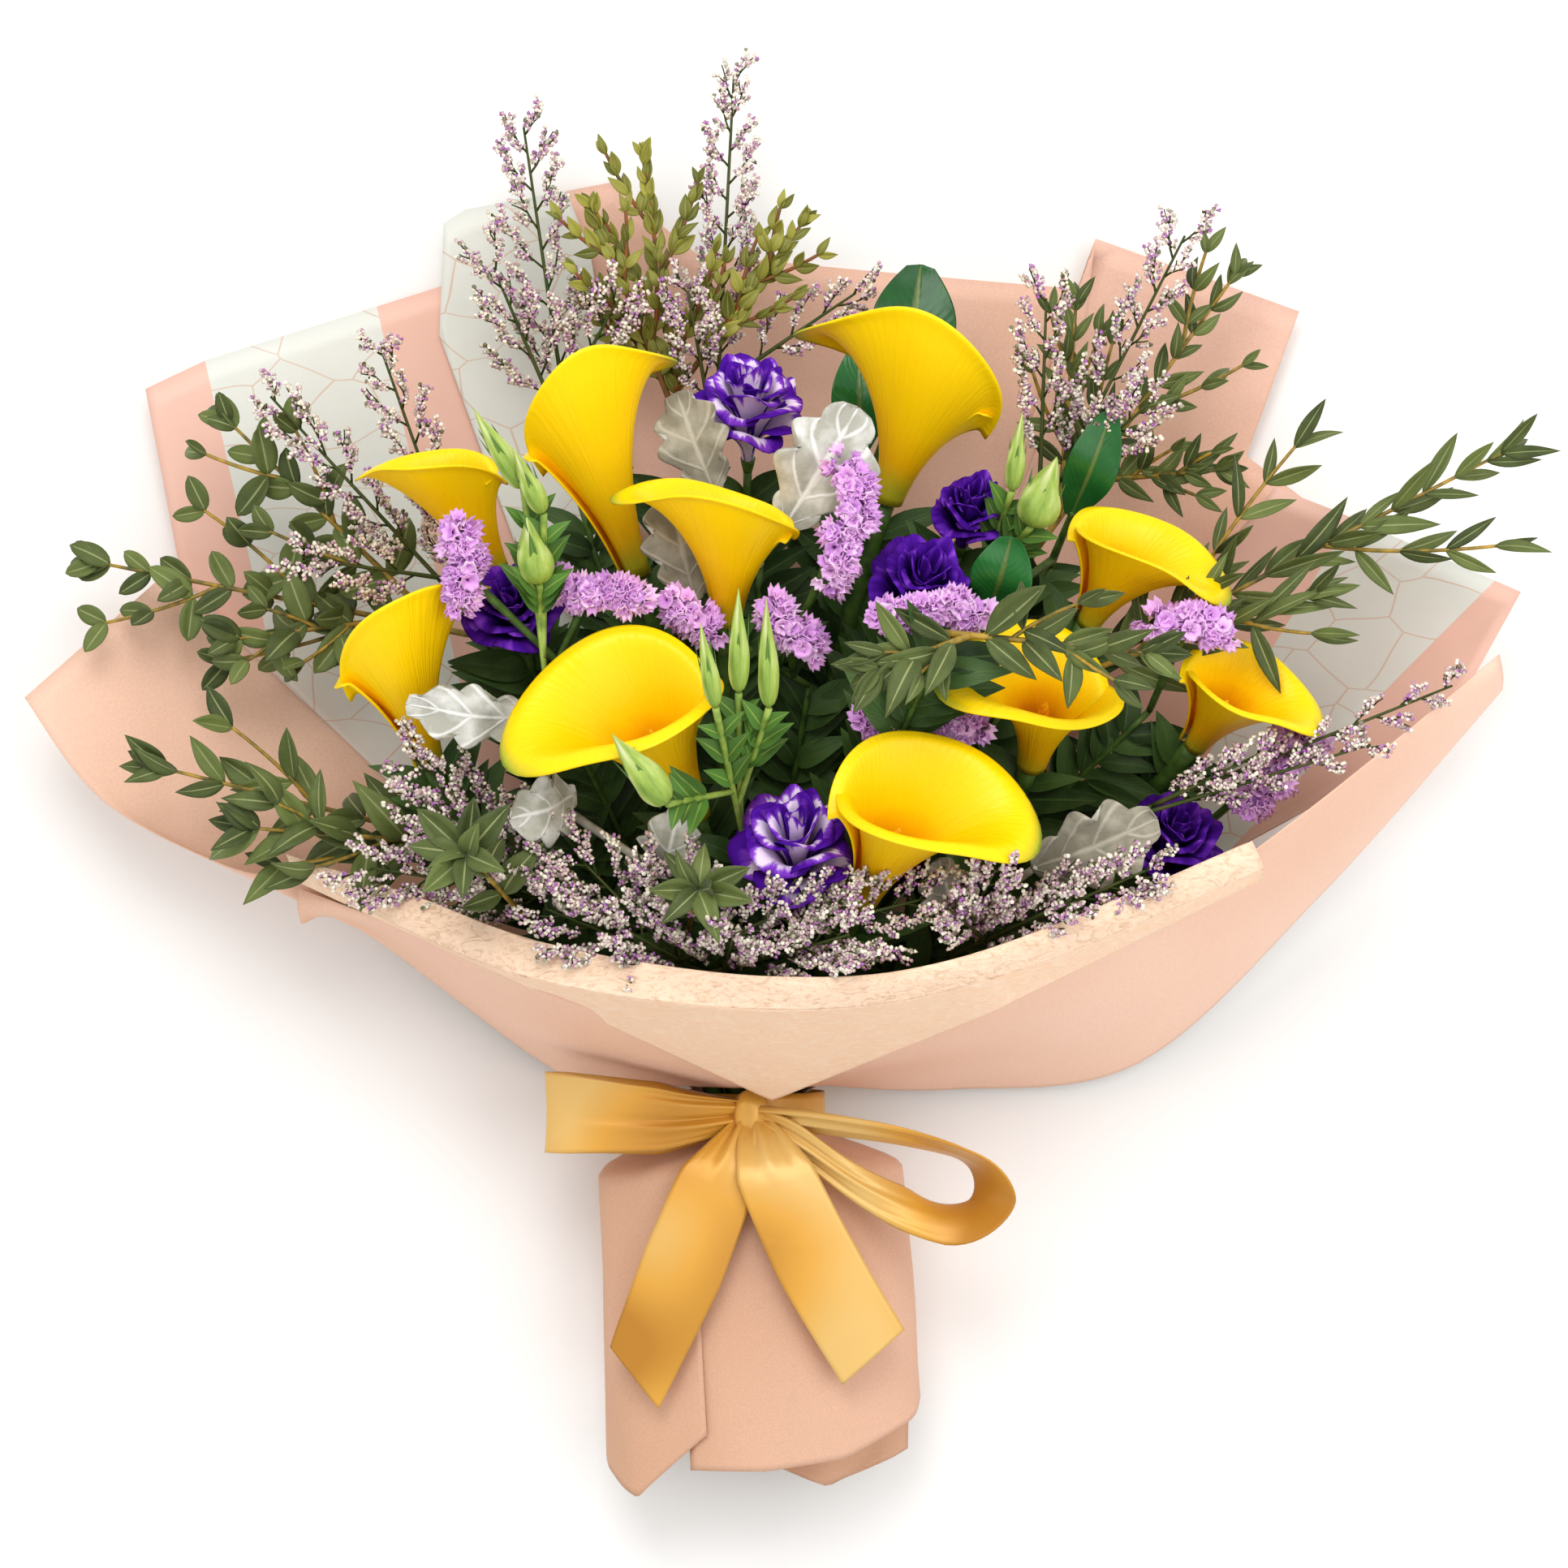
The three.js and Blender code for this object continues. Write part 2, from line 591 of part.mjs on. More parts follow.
// Each spray: the root where it leaves the stem, and the tip of each of its main branches.
const SEA_LAVENDERS = {
  sea_lavender_top_left: {
    root: [-86, 120, 40],
    tips: [[-109, 275, 44], [-121, 215, 60], [-70, 200, 62]],
    size: 28,
  },
  sea_lavender_top: {
    root: [-30, 120, 40],
    tips: [[-21, 297, 42], [-40, 205, 62], [30, 205, 52]],
    size: 24,
  },
  sea_lavender_left: {
    root: [-120, 50, 80],
    tips: [[-167, 180, 72], [-212, 160, 84], [-196, 92, 110]],
    size: 24,
  },
  sea_lavender_front_left: {
    root: [-70, -50, 90],
    tips: [[-168, -34, 130], [-150, 10, 142], [-94, -44, 160]],
    size: 22,
  },
  sea_lavender_front: {
    root: [-20, -84, 110],
    tips: [[-64, -58, 176], [-20, -60, 190], [26, -60, 188], [-96, -50, 160], [52, -54, 178]],
    size: 22,
  },
  sea_lavender_front_right: {
    root: [60, -74, 110],
    tips: [[114, -40, 190], [72, -38, 198], [150, -14, 188]],
    size: 24,
  },
  sea_lavender_right: {
    root: [106, -34, 140],
    tips: [[272, 36, 126], [238, 8, 134], [190, -2, 160]],
    size: 24,
  },
  sea_lavender_upper_right: {
    root: [96, 90, 76],
    tips: [[166, 227, 76], [108, 200, 92], [150, 156, 118]],
    size: 28,
  },
};

// The outline of one flat branch along +Y. Each limb leaves the stalk at a share of its length, to one side
// and at an angle, and has corners of its own: how far along the limb, and how far aside from its middle.
function branchOutline(length, stalk, limbs) {
  const sides = { "-1": [[-stalk, 0]], 1: [[stalk, 0]] };
  for (const { share, side, angle, corners } of limbs) {
    const turn = degToRad(angle);
    for (const [ahead, aside] of corners) {
      sides[side].push([
        side * (stalk * 0.6 + ahead * Math.sin(turn) + aside * Math.cos(turn)),
        share * length + ahead * Math.cos(turn) - aside * Math.sin(turn),
      ]);
    }
  }
  return [...sides[1], [0, length], ...sides[-1].reverse()].map(([x, y]) => new THREE.Vector2(x, y));
}

// A flat branch, its broad side to the viewer, bent along its curve, its limbs drooping at their ends.
// A limb that reaches past the stalk's end goes on straight.
function flatBranch(curve, outline, thickness, droop) {
  const length = curve.getLength();
  const options = { depth: thickness, bevelEnabled: false };
  const flat = new THREE.ExtrudeGeometry(new THREE.Shape(outline), options);
  const position = flat.getAttribute("position");
  for (let i = 0; i < position.count; i++) {
    const [x, y, z] = [position.getX(i), position.getY(i), position.getZ(i)];
    const share = clamp(y / length, 0, 1);
    const corner = beside(curve, share, x, z - thickness / 2 - droop * x * x);
    corner.addScaledVector(curve.getTangent(share), y - share * length);
    position.setXYZ(i, ...corner.toArray());
  }
  return solidOf(flat);
}

// One spray: one-sided spikes on alternate sides, toothed along their outer edges, a tooth for each floret.
function seaLavenderBranch(curve, size) {
  const length = curve.getLength();
  const spikes = clamp(Math.round(length / 34), 2, 5);
  const limbs = Array.from({ length: spikes }, (_, i) => {
    const share = lerp(0.4, 0.88, i / (spikes - 1));
    const reach = size * lerp(1.15, 0.55, share) * lerp(0.85, 1.15, seededRandom());
    const corners = [[0, 1], [reach * 0.45, 5], [reach * 0.55, 2.6], [reach, 3], [1.6, -0.7]];
    return { share, side: i % 2 ? 1 : -1, angle: lerp(46, 30, share), corners };
  });
  return flatBranch(curve, branchOutline(length, 1.2, limbs), SPIKE, 0.004);
}

function seaLavender({ root, tips, size }) {
  return forks(root, tips, 10).map((curve) => seaLavenderBranch(curve, size));
}

// ---------------------------------------------------------------- leafy stems

// Each stem: its root, the tips of its branches, the spacing of its leaf pairs, a leaf's length and width,
// and the share of a branch where its leaves begin.
const LEAFY_STEMS = {
  eucalyptus_left: {
    root: [-120, 60, 70],
    tips: [[-285, 92, 62], [-230, 150, 70], [-226, 60, 84]],
    spacing: 33,
    leaf: [30, 13],
    from: 0.4,
  },
  eucalyptus_lower_left: {
    root: [-110, -30, 90],
    tips: [[-252, 6, 112], [-216, -18, 126]],
    spacing: 33,
    leaf: [31, 12],
    from: 0.45,
  },
  eucalyptus_front_left: {
    root: [-100, -60, 120],
    tips: [[-126, -28, 196]],
    spacing: 22,
    leaf: [26, 11],
    from: 0.6,
  },
  eucalyptus_front: {
    root: [-40, -64, 130],
    tips: [[-34, -42, 196]],
    spacing: 31,
    leaf: [24, 10],
    from: 0.6,
  },
  eucalyptus_middle_right: {
    root: [64, 60, 196],
    tips: [[142, 52, 216], [38, 46, 210]],
    spacing: 32,
    leaf: [30, 10],
    from: 0.4,
  },
  eucalyptus_right: {
    root: [90, 30, 100],
    tips: [[295, 136, 92], [212, 76, 136]],
    spacing: 31,
    leaf: [34, 10],
    from: 0.35,
  },
  eucalyptus_upper_right: {
    root: [104, 96, 50],
    tips: [[188, 212, 50], [122, 200, 50], [180, 130, 76]],
    spacing: 31,
    leaf: [27, 9],
    from: 0.4,
  },
  boxwood_top: {
    root: [-40, 130, 40],
    tips: [[-59, 262, 52], [-80, 240, 60], [8, 234, 60]],
    spacing: 21,
    leaf: [20, 8],
    from: 0.5,
  },
};

// One leafy branch: pairs of lance-shaped leaves, every other pair seen edge-on and so narrower.
function leafyBranch(curve, { spacing, leaf, from }) {
  const length = curve.getLength();
  const pairs = Math.max(2, Math.round((length * (1 - from)) / spacing));
  const limbs = Array.from({ length: pairs }, (_, i) => {
    const share = lerp(from, 0.9, i / (pairs - 1));
    return [-1, 1].map((side) => {
      const size = lerp(1.15, 0.75, share) * lerp(0.85, 1.1, seededRandom()) * (i % 2 ? 0.8 : 1);
      const [reach, half] = [leaf[0] * size, (leaf[1] / 2) * size];
      const corners = [[0, 0.8], [reach * 0.4, half], [reach, 0], [reach * 0.4, -half], [0.6, -0.8]];
      return { share, side, angle: lerp(66, 34, share), corners };
    });
  }).flat();
  return flatBranch(curve, branchOutline(length, 1.1, limbs), LEAF, 0.006);
}

function leafyStem(plan) {
  return forks(plan.root, plan.tips, 4).map((curve) => leafyBranch(curve, plan));
}

// ---------------------------------------------------------------- dusty miller and broad leaves

// Each leaf: its foot on the sprig, its tip, its half width, and the side its face looks to.
const DUSTY_MILLERS = {
  dusty_miller_centre: {
    root: [-10, 90, 90],
    leaves: [
      { foot: [-28, 118, 116], tip: [-44, 160, 112], half: 14 },
      { foot: [-36, 74, 138], tip: [-46, 120, 142], half: 15 },
      { foot: [0, 104, 146], tip: [30, 152, 150], half: 19 },
    ],
  },
  dusty_miller_left: {
    root: [-90, -20, 110],
    leaves: [
      { foot: [-100, 26, 150], tip: [-152, 32, 158], half: 13 },
      { foot: [-84, -4, 150], tip: [-110, -14, 170], half: 14 },
      { foot: [-50, -38, 150], tip: [-42, -10, 166], half: 12 },
    ],
  },
  dusty_miller_right: {
    root: [80, -50, 130],
    leaves: [
      { foot: [100, -34, 152], tip: [150, -14, 160], half: 16 },
      { foot: [70, -54, 150], tip: [62, -30, 166], half: 11 },
    ],
  },
};

const BROAD_LEAVES = {
  broad_leaf_top: {
    root: [30, 112, 44],
    leaves: [
      { foot: [50, 166, 58], tip: [57, 216, 64], half: 17 },
      { foot: [32, 138, 54], tip: [31, 182, 58], half: 11 },
    ],
  },
  broad_leaf_right: {
    root: [110, 90, 80],
    leaves: [
      { foot: [118, 110, 96], tip: [134, 152, 112], half: 10 },
      { foot: [84, 72, 130], tip: [92, 100, 146], half: 12 },
    ],
  },
};

function broadLeaf(foot, tip, half, lobes) {
  const [start, end] = points([foot, tip]);
  const axis = end.clone().sub(start);
  const length = axis.length();
  const rows = lobes ? 6 : 3;
  const place = (u, v) => {
    const scallop = lobes ? 1 - 0.3 * (Math.round(v * rows) % 2) : 1;
    const body = Math.sin(Math.PI * clamp(0.06 + 0.86 * v, 0, 1)) * scallop;
    const across = (2 * u - 1) * (0.8 + half * body);
    const bowed = 5 * Math.sin(Math.PI * v) ** 2;
    return vec(0.12 * Math.abs(across) + bowed, across, v * length);
  };
  return solidOf(aimed(sheet(2, rows, place, LEAF), start, axis, vec(0, -0.3, 1)));
}

function leafSprig({ root, leaves }, lobes) {
  const inwards = leaves.map(({ foot, tip }) => {
    const end = vec(...foot);
    return end.add(vec(...tip).sub(end).setLength(2)).toArray();
  });
  const stalks = forks(root, inwards, -5).map((curve) => stem(curve, (s) => lerp(1.8, 1.2, s), 3, 1));
  const blades = leaves.map(({ foot, tip, half }) => broadLeaf(foot, tip, half, lobes));
  return [...stalks.map(solidOf), ...blades];
}

// ---------------------------------------------------------------- buds

// Each sprig: its root and its buds, each with its foot, tip and radius.
const BUDS = {
  buds_left: { root: [-96, 40, 150], buds: [
    { foot: [-104, 118, 178], tip: [-124, 150, 186], radius: 5 },
    { foot: [-96, 108, 180], tip: [-108, 134, 190], radius: 4.5 },
    { foot: [-98, 80, 170], tip: [-103, 108, 178], radius: 7.5 },
  ] },
  buds_centre: { root: [-16, -24, 150], buds: [
    { foot: [-27, 30, 212], tip: [-33, 64, 222], radius: 3.8 },
    { foot: [-18, 36, 198], tip: [-18, 78, 206], radius: 4.4 },
    { foot: [-6, 30, 196], tip: [-7, 74, 204], radius: 4.4 },
    { foot: [-46, -8, 212], tip: [-68, 20, 220], radius: 7 },
  ] },
  buds_right: { root: [80, 80, 110], buds: [
    { foot: [92, 118, 150], tip: [96, 150, 158], radius: 4 },
    { foot: [100, 104, 146], tip: [110, 132, 156], radius: 9 },
  ] },
};

// A stalk that swells into a pointed bud at its end.
function bud(stalk, { tip, radius }) {
  const foot = stalk.getPoint(1);
  const curve = new THREE.CurvePath();
  curve.add(stalk);
  curve.add(new THREE.LineCurve3(foot, vec(...tip)));
  const budShare = 1 - stalk.getLength() / curve.getLength();
  const profile = [
    [0, 1.4],
    [1 - budShare, 1.6],
    [1 - 0.62 * budShare, radius],
    [1 - 0.25 * budShare, 0.7 * radius],
    [1, 0.4],
  ];
  return solidOf(profiledStem(curve, profile, 4));
}

function budSprig({ root, buds }) {
  const stalks = forks(root, buds.map(({ foot }) => foot), -6);
  return buds.map((plan, i) => bud(stalks[i], plan));
}

// ---------------------------------------------------------------- stems under the flowers

// Where each head's own stem must come up to meet it, and which way it points there.
function stemEnds() {
  const ends = [];
  const spare = 0.4; // clear of the head by a little more than the gap
  const end = (root, ahead, below, radius) => {
    const axis = ahead.clone().sub(root).normalize();
    ends.push({ root: root.clone().addScaledVector(axis, -below - GAP - spare), axis, radius });
  };
  for (const { base, mouth } of Object.values(LILIES)) end(vec(...base), vec(...mouth), 1, 4.2);
  for (const { base, face } of Object.values(LISIANTHUS)) end(vec(...base), vec(...face), 3, 1.8);
  for (const sprigs of [STATICE, SEA_LAVENDERS, LEAFY_STEMS, DUSTY_MILLERS, BROAD_LEAVES, BUDS]) {
    for (const { root } of Object.values(sprigs)) {
      const place = vec(...root);
      end(place, place.clone().multiplyScalar(2).sub(WAIST), 1.2, 1.4);
    }
  }
  return ends;
}

// Gives each stem its place in the tie: rows across by where it goes sideways, and up by how high it goes.
function withTieSlots(ends) {
  const [stacked, pitch] = [6, 3.9];
  const columns = Math.ceil(ends.length / stacked);
  const bySide = [...ends].sort((a, b) => a.root.x - b.root.x);
  return Array.from({ length: columns }, (_, column) => {
    const stack = bySide.slice(column * stacked, (column + 1) * stacked);
    stack.sort((a, b) => a.root.z - b.root.z);
    return stack.map((end, row) => {
      const aside = vec(column - (columns - 1) / 2, 0, row - (stacked - 1) / 2).multiplyScalar(pitch);
      return { ...end, start: WAIST.clone().add(aside).add(vec(0, 3, 0)) };
    });
  }).flat();
}

// A stem from the tied waist to its head, by the first of several bends that is clear of everything else.
function stemRoute({ start, root, axis, radius }) {
  const offset = root.clone().sub(WAIST);
  const reach = start.distanceTo(root);
  const shifts = [0, -8, 8, -16, 16, -30, 30, -45, 45, -60];
  const steps = radius > 1.5 ? 3 : 2;
  const bends = shifts.flatMap((x) => shifts.map((z) => [x, z]));
  bends.sort((a, b) => Math.hypot(...a) - Math.hypot(...b));
  let best;
  for (const [x, z] of bends) {
    const curve = new THREE.CubicBezierCurve3(
      start,
      start.clone().add(vec(offset.x * 0.25 + x, offset.y * 0.4, offset.z * 0.2 + z)),
      root.clone().addScaledVector(axis, -reach * 0.3).add(vec(x / 2, 0, z / 2)),
      root,
    );
    const made = solidOf(stem(curve, (s) => lerp(0.8 * radius, radius, s), 3, steps));
    const cost = blocked(made);
    if (!best || cost < best.cost) best = { made, cost };
    if (cost < 1e-6) break;
  }
  return best.made;
}

// The stems above the tie, the string round them, and their feet spread out in the skirt of paper.
function stemBundle() {
  const [tieRadius, tieWidth, tieSides] = [17, 10, 10];
  const tie = new THREE.CylinderGeometry(tieRadius, tieRadius, tieWidth, tieSides);
  const parts = [solidOf(tie.translate(...WAIST)), ...withTieSlots(stemEnds()).map(stemRoute)];
  const [feet, goldenTurn, gathered] = [8, 2.4, 11];
  const spread = { middle: vec(-8, FOOT_Y, 38), halfWidth: 36, halfHeight: 22 };
  for (let i = 0; i < feet; i++) {
    const ring = Math.sqrt((i + 0.5) / feet);
    const [across, up] = [ring * Math.cos(i * goldenTurn), ring * Math.sin(i * goldenTurn)];
    const top = WAIST.clone().add(vec(gathered * across, 0, gathered * up));
    const aside = vec(spread.halfWidth * across, 6 * ring, spread.halfHeight * up);
    const foot = spread.middle.clone().add(aside);
    parts.push(solidOf(stem(new THREE.LineCurve3(top, foot), () => STEM_RADIUS, 4, 1)));
  }
  return parts;
}

// ---------------------------------------------------------------- assembly, from the surface up

seededRandom(7);
const printed = ["paper_fold_left", "paper_right", "paper_back_left"];
const [backRows, frontRows, handleRows] = [6, 3, 4];
for (const [name, plan] of Object.entries(BACK_SHEETS)) {
  const paper = printed.includes(name) ? PRINTED_PAPER : PEACH_PAPER;
  add(name, backSheet(plan, plan.rim.length - 1, backRows), paper);
}
for (const [name, plan] of Object.entries(FRONT_SHEETS)) {
  const cream = name === "paper_front_band" || name === "tissue_collar";
  add(name, frontSheet(plan, plan.high.length - 1, frontRows), cream ? CREAM_PAPER : PEACH_PAPER);
}
for (const [name, plan] of Object.entries(HANDLE_SHEETS)) {
  add(name, handleSheet(plan, plan.hem.length - 1, handleRows), PEACH_PAPER);
}
add("ribbon_band", band(), SATIN);
add("ribbon_bow", bow(), SATIN);
for (const [name, plan] of Object.entries(LILIES)) add(name, lily(plan), LILY_YELLOW);
for (const [name, plan] of Object.entries(LISIANTHUS)) add(name, lisianthus(plan), LISIANTHUS_PURPLE);
for (const [name, plan] of Object.entries(DUSTY_MILLERS)) add(name, leafSprig(plan, true), SILVER_FELT);
for (const [name, plan] of Object.entries(BROAD_LEAVES)) add(name, leafSprig(plan, false), GLOSS_GREEN);
for (const [name, plan] of Object.entries(STATICE)) add(name, statice(plan), STATICE_LILAC);
for (const [name, plan] of Object.entries(BUDS)) add(name, budSprig(plan), BUD_GREEN);
for (const [name, plan] of Object.entries(LEAFY_STEMS)) {
  add(name, leafyStem(plan), name.startsWith("boxwood") ? GOLD_GREEN : EUCALYPTUS_GREEN);
}
for (const [name, plan] of Object.entries(SEA_LAVENDERS)) add(name, seaLavender(plan), SEA_LAVENDER);
add("stem_bundle", stemBundle(), STEM_GREEN);

export default bouquet;
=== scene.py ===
"""A florist's bouquet of yellow arum lilies, wrapped in peach paper, tied with satin and laid on its back.

Places and sizes below are in millimetres, in the frame of the CAD part, and become metres when a piece is
finished. The tables repeat the ones that the solids were built from, so each piece lies where its solid does.
"""

import math
import random
from functools import partial

import bmesh
import bpy
from bpy.props import FloatProperty, FloatVectorProperty, IntProperty, PointerProperty
from mathutils import Matrix, Vector, noise


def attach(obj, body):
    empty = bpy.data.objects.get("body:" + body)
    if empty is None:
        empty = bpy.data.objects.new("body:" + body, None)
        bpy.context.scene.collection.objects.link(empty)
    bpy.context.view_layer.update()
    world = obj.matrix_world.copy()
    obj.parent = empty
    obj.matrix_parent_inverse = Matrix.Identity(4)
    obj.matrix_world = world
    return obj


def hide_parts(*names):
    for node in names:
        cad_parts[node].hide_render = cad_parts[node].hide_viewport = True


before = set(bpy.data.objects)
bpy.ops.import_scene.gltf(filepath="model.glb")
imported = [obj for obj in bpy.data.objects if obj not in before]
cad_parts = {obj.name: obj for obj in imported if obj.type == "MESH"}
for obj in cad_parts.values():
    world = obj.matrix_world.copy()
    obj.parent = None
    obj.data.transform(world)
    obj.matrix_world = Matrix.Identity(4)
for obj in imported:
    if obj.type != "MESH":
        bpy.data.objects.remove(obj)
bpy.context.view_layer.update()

bl_info = {
    "name": "Arum Lily Bouquet",
    "version": (1, 0, 0),
    "blender": (4, 5, 0),
    "location": "View3D > Sidebar > Bouquet",
    "description": "Builds a wrapped bouquet of arum lilies and mixed filler flowers",
    "category": "Add Mesh",
}

MM = 0.001
UP = Vector((0, 0, 1))
WAIST = Vector((-14, -135, 32))  # middle of the tied waist
FOOT_Y = -262  # where the stems are cut


# ---------------- numbers, rows of points and directions


def mix(first, last, share):
    return first + (last - first) * share


def clamp(value, low=0.0, high=1.0):
    return max(low, min(high, value))


def ease(value, start, end):
    share = clamp((value - start) / (end - start))
    return share * share * (3 - 2 * share)


def table(columns, rows):
    """Rows of values by name, each made a dict with the columns' names."""
    return {name: dict(zip(columns.split(), row)) for name, row in rows.items()}


def points(rows):
    return [Vector(row) for row in rows]


def round_point(turn, radius, height):
    return Vector((radius * math.cos(turn), radius * math.sin(turn), height))


def along(row, share):
    """The value part of the way along a row of points or numbers, 0 at the first and 1 at the last."""
    place = clamp(share) * (len(row) - 1)
    before = min(int(place), len(row) - 2)
    return mix(row[before], row[before + 1], place - before)


def heading(row, share):
    """The direction of a row of points at a share of its length."""
    step = 0.5 / (len(row) - 1)
    return (along(row, share + step) - along(row, share - step)).normalized()


def place_on(row, share):
    """A point on a row, the way ahead there, and the level way across it."""
    ahead = heading(row, share)
    return along(row, share), ahead, ahead.cross(UP).normalized()


def smooth_row(corners, steps=10):
    """A fine row of points on a smooth curve through the corners."""
    row = []
    for i in range(len(corners) - 1):
        before, start = corners[max(i - 1, 0)], corners[i]
        end, after = corners[i + 1], corners[min(i + 2, len(corners) - 1)]
        for step in range(steps):
            t = step / steps
            row.append(
                0.5 * (2 * start + (end - before) * t + (2 * before - 5 * start + 4 * end - after) * t * t
                       + (3 * start - before - 3 * end + after) * t * t * t)
            )
    return row + [corners[-1]]


def bent_row(corners, steps=16):
    """A fine row of points on the curve that three or four corners pull into shape."""
    row = []
    for step in range(steps + 1):
        pulled = list(corners)
        while len(pulled) > 1:
            pulled = [mix(a, b, step / steps) for a, b in zip(pulled, pulled[1:])]
        row.append(pulled[0])
    return row


def length_of(row):
    return sum((b - a).length for a, b in zip(row, row[1:]))


def forks(root, ends, rise):
    """Rows from a root to each end, the later ones leaving the first a little further up it."""
    rows = []
    for i, end in enumerate(points(ends)):
        origin = along(rows[0], min(0.5, 0.13 * i)) if rows else Vector(root)
        rows.append(bent_row([origin, mix(origin, end, 0.5) + UP * rise, end]))
    return rows


def aimed(origin, axis, towards):
    """A matrix whose +Z runs along axis from the origin, and whose +X leans towards a direction."""
    z = axis.normalized()
    x = (towards - z * towards.dot(z)).normalized()
    return Matrix.Translation(origin) @ Matrix((x, z.cross(x), z)).transposed().to_4x4()


def crumple(place, size, depth):
    """Smooth unevenness at a place: size is how wide its bumps are."""
    return depth * noise.noise(place / size)


# ---------------- mesh


def empty_mesh():
    """A bmesh with nothing in it but a UV map."""
    bm = bmesh.new()
    bm.loops.layers.uv.verify()
    return bm


def lay_surface(bm, cols, rows, place, finish=0):
    """Lays a grid on place(u, v), u and v from 0 to 1. Its faces look along u cross v."""
    made = bmesh.ops.create_grid(bm, x_segments=cols, y_segments=rows, size=0.5, calc_uvs=True)["verts"]
    for vert in made:
        vert.co = place(clamp(vert.co.x + 0.5), clamp(vert.co.y + 0.5))
    paint_faces(made, finish)
    return made


def paint_faces(verts, finish):
    for face in {face for vert in verts for face in vert.link_faces}:
        face.material_index = finish


def close_seams(bm, verts, reach=0.01):
    """Merges a rolled surface's seam and its poles, and turns its faces outwards."""
    faces = list({face for vert in verts for face in vert.link_faces})
    bmesh.ops.remove_doubles(bm, verts=verts, dist=reach)
    bmesh.ops.recalc_face_normals(bm, faces=[face for face in faces if face.is_valid])


def lay_tube(bm, row, radius_at, sides=6, steps=8, finish=0):
    """A closed round stem along a row of points, its two end rings drawn in to poles."""
    cap = 0.5 / (steps + 2)

    def place(u, v):
        share = clamp((v * (steps + 2) - 1) / steps)
        radius = 0.0 if v < cap or v > 1 - cap else radius_at(share)
        ahead = heading(row, share)
        side = ahead.cross(UP)
        side = side.normalized() if side.length > 1e-3 else Vector((1, 0, 0))
        turn = 2 * math.pi * u
        return along(row, share) + (side * math.cos(turn) + ahead.cross(side) * math.sin(turn)) * radius

    close_seams(bm, lay_surface(bm, sides, steps + 2, place, finish))


def template_from(bm, name):
    mesh = bpy.data.meshes.new(name)
    bm.to_mesh(mesh)
    bm.free()
    return mesh


def set_down(bm, template, matrix):
    """Adds a copy of a template mesh to a piece."""
    copy = template.copy()
    copy.transform(matrix)
    bm.from_mesh(copy)
    bpy.data.meshes.remove(copy)


def finish_piece(bm, node, kind, finishes, slot, thickness=0.0, inner=0):
    """Makes a bmesh a piece of the bouquet: in metres, with thickness, in place of its CAD node."""
    name = node + "_" + kind
    bmesh.ops.scale(bm, vec=(MM, MM, MM), verts=bm.verts)
    mesh = template_from(bm, name)
    mesh.shade_smooth()
    for finish in finishes:
        mesh.materials.append(finish)
    piece = bpy.data.objects.new(name, mesh)
    bpy.context.scene.collection.objects.link(piece)
    if thickness:
        shell = piece.modifiers.new("Thickness", "SOLIDIFY")
        shell.thickness = thickness
        shell.offset = 0
        shell.material_offset = inner
    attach(piece, "root")
    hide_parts(node)
    return piece


# ---------------- materials


def linear(hex_colour):
    """An sRGB hex colour as the linear values that Blender's shaders read."""
    channels = [int(hex_colour[i:i + 2], 16) / 255 for i in (1, 3, 5)]
    return [c / 12.92 if c <= 0.04045 else ((c + 0.055) / 1.055) ** 2.4 for c in channels] + [1.0]


def link(material, source, socket):
    """Links an output, or a node's first output in use, to a socket."""
    if isinstance(source, bpy.types.Node):
        source = next(output for output in source.outputs if output.enabled)
    material.node_tree.links.new(source, socket)


def add_node(material, kind, inputs=None, stops=(), **settings):
    """Adds one shader node with its settings and colour stops. An input is a value, a node or its output."""
    node = material.node_tree.nodes.new("ShaderNode" + kind)
    for name, value in settings.items():
        setattr(node, name, value)
    for socket, value in (inputs or {}).items():
        if isinstance(value, (bpy.types.Node, bpy.types.NodeSocket)):
            link(material, value, node.inputs[socket])
        else:
            node.inputs[socket].default_value = value
    if stops:
        while len(node.color_ramp.elements) < len(stops):
            node.color_ramp.elements.new(0.5)
        for element, (position, colour) in zip(node.color_ramp.elements, stops):
            element.position, element.color = position, colour
    return node


def new_material(name, roughness, **values):
    """A material with the values that are the same all over it, and the function that adds a node to it."""
    material = bpy.data.materials.new(name)
    material.use_nodes = True
    shader = material.node_tree.nodes["Principled BSDF"]
    shader.inputs["Roughness"].default_value = roughness
    for socket, value in values.items():
        shader.inputs[socket.replace("_", " ")].default_value = value
    return material, partial(add_node, material)


def dress(material, colour, relief=None):
    """Gives the material its colour, and its relief where it has one."""
    shader = material.node_tree.nodes["Principled BSDF"]
    link(material, colour, shader.inputs["Base Color"])
    if relief:
        link(material, relief, shader.inputs["Normal"])
    return material


def grained(name, roughness, stops, grain, relief=None, spread=None, on_uv=False, **values):
    """A material whose colour and relief follow one noise, which its spread can turn and stretch."""
    material, add = new_material(name, roughness, **values)
    place = add("UVMap") if on_uv else add("TexCoord").outputs["Object"]
    if spread:
        place = add("Mapping", {"Vector": place, **spread})
    cloud = add("TexNoise", {"Vector": place, **grain})
    bump = add("Bump", {"Height": cloud, "Strength": relief[0], "Distance": relief[1]}) if relief else None
    return dress(material, add("ValToRGB", {"Fac": cloud}, stops), bump)


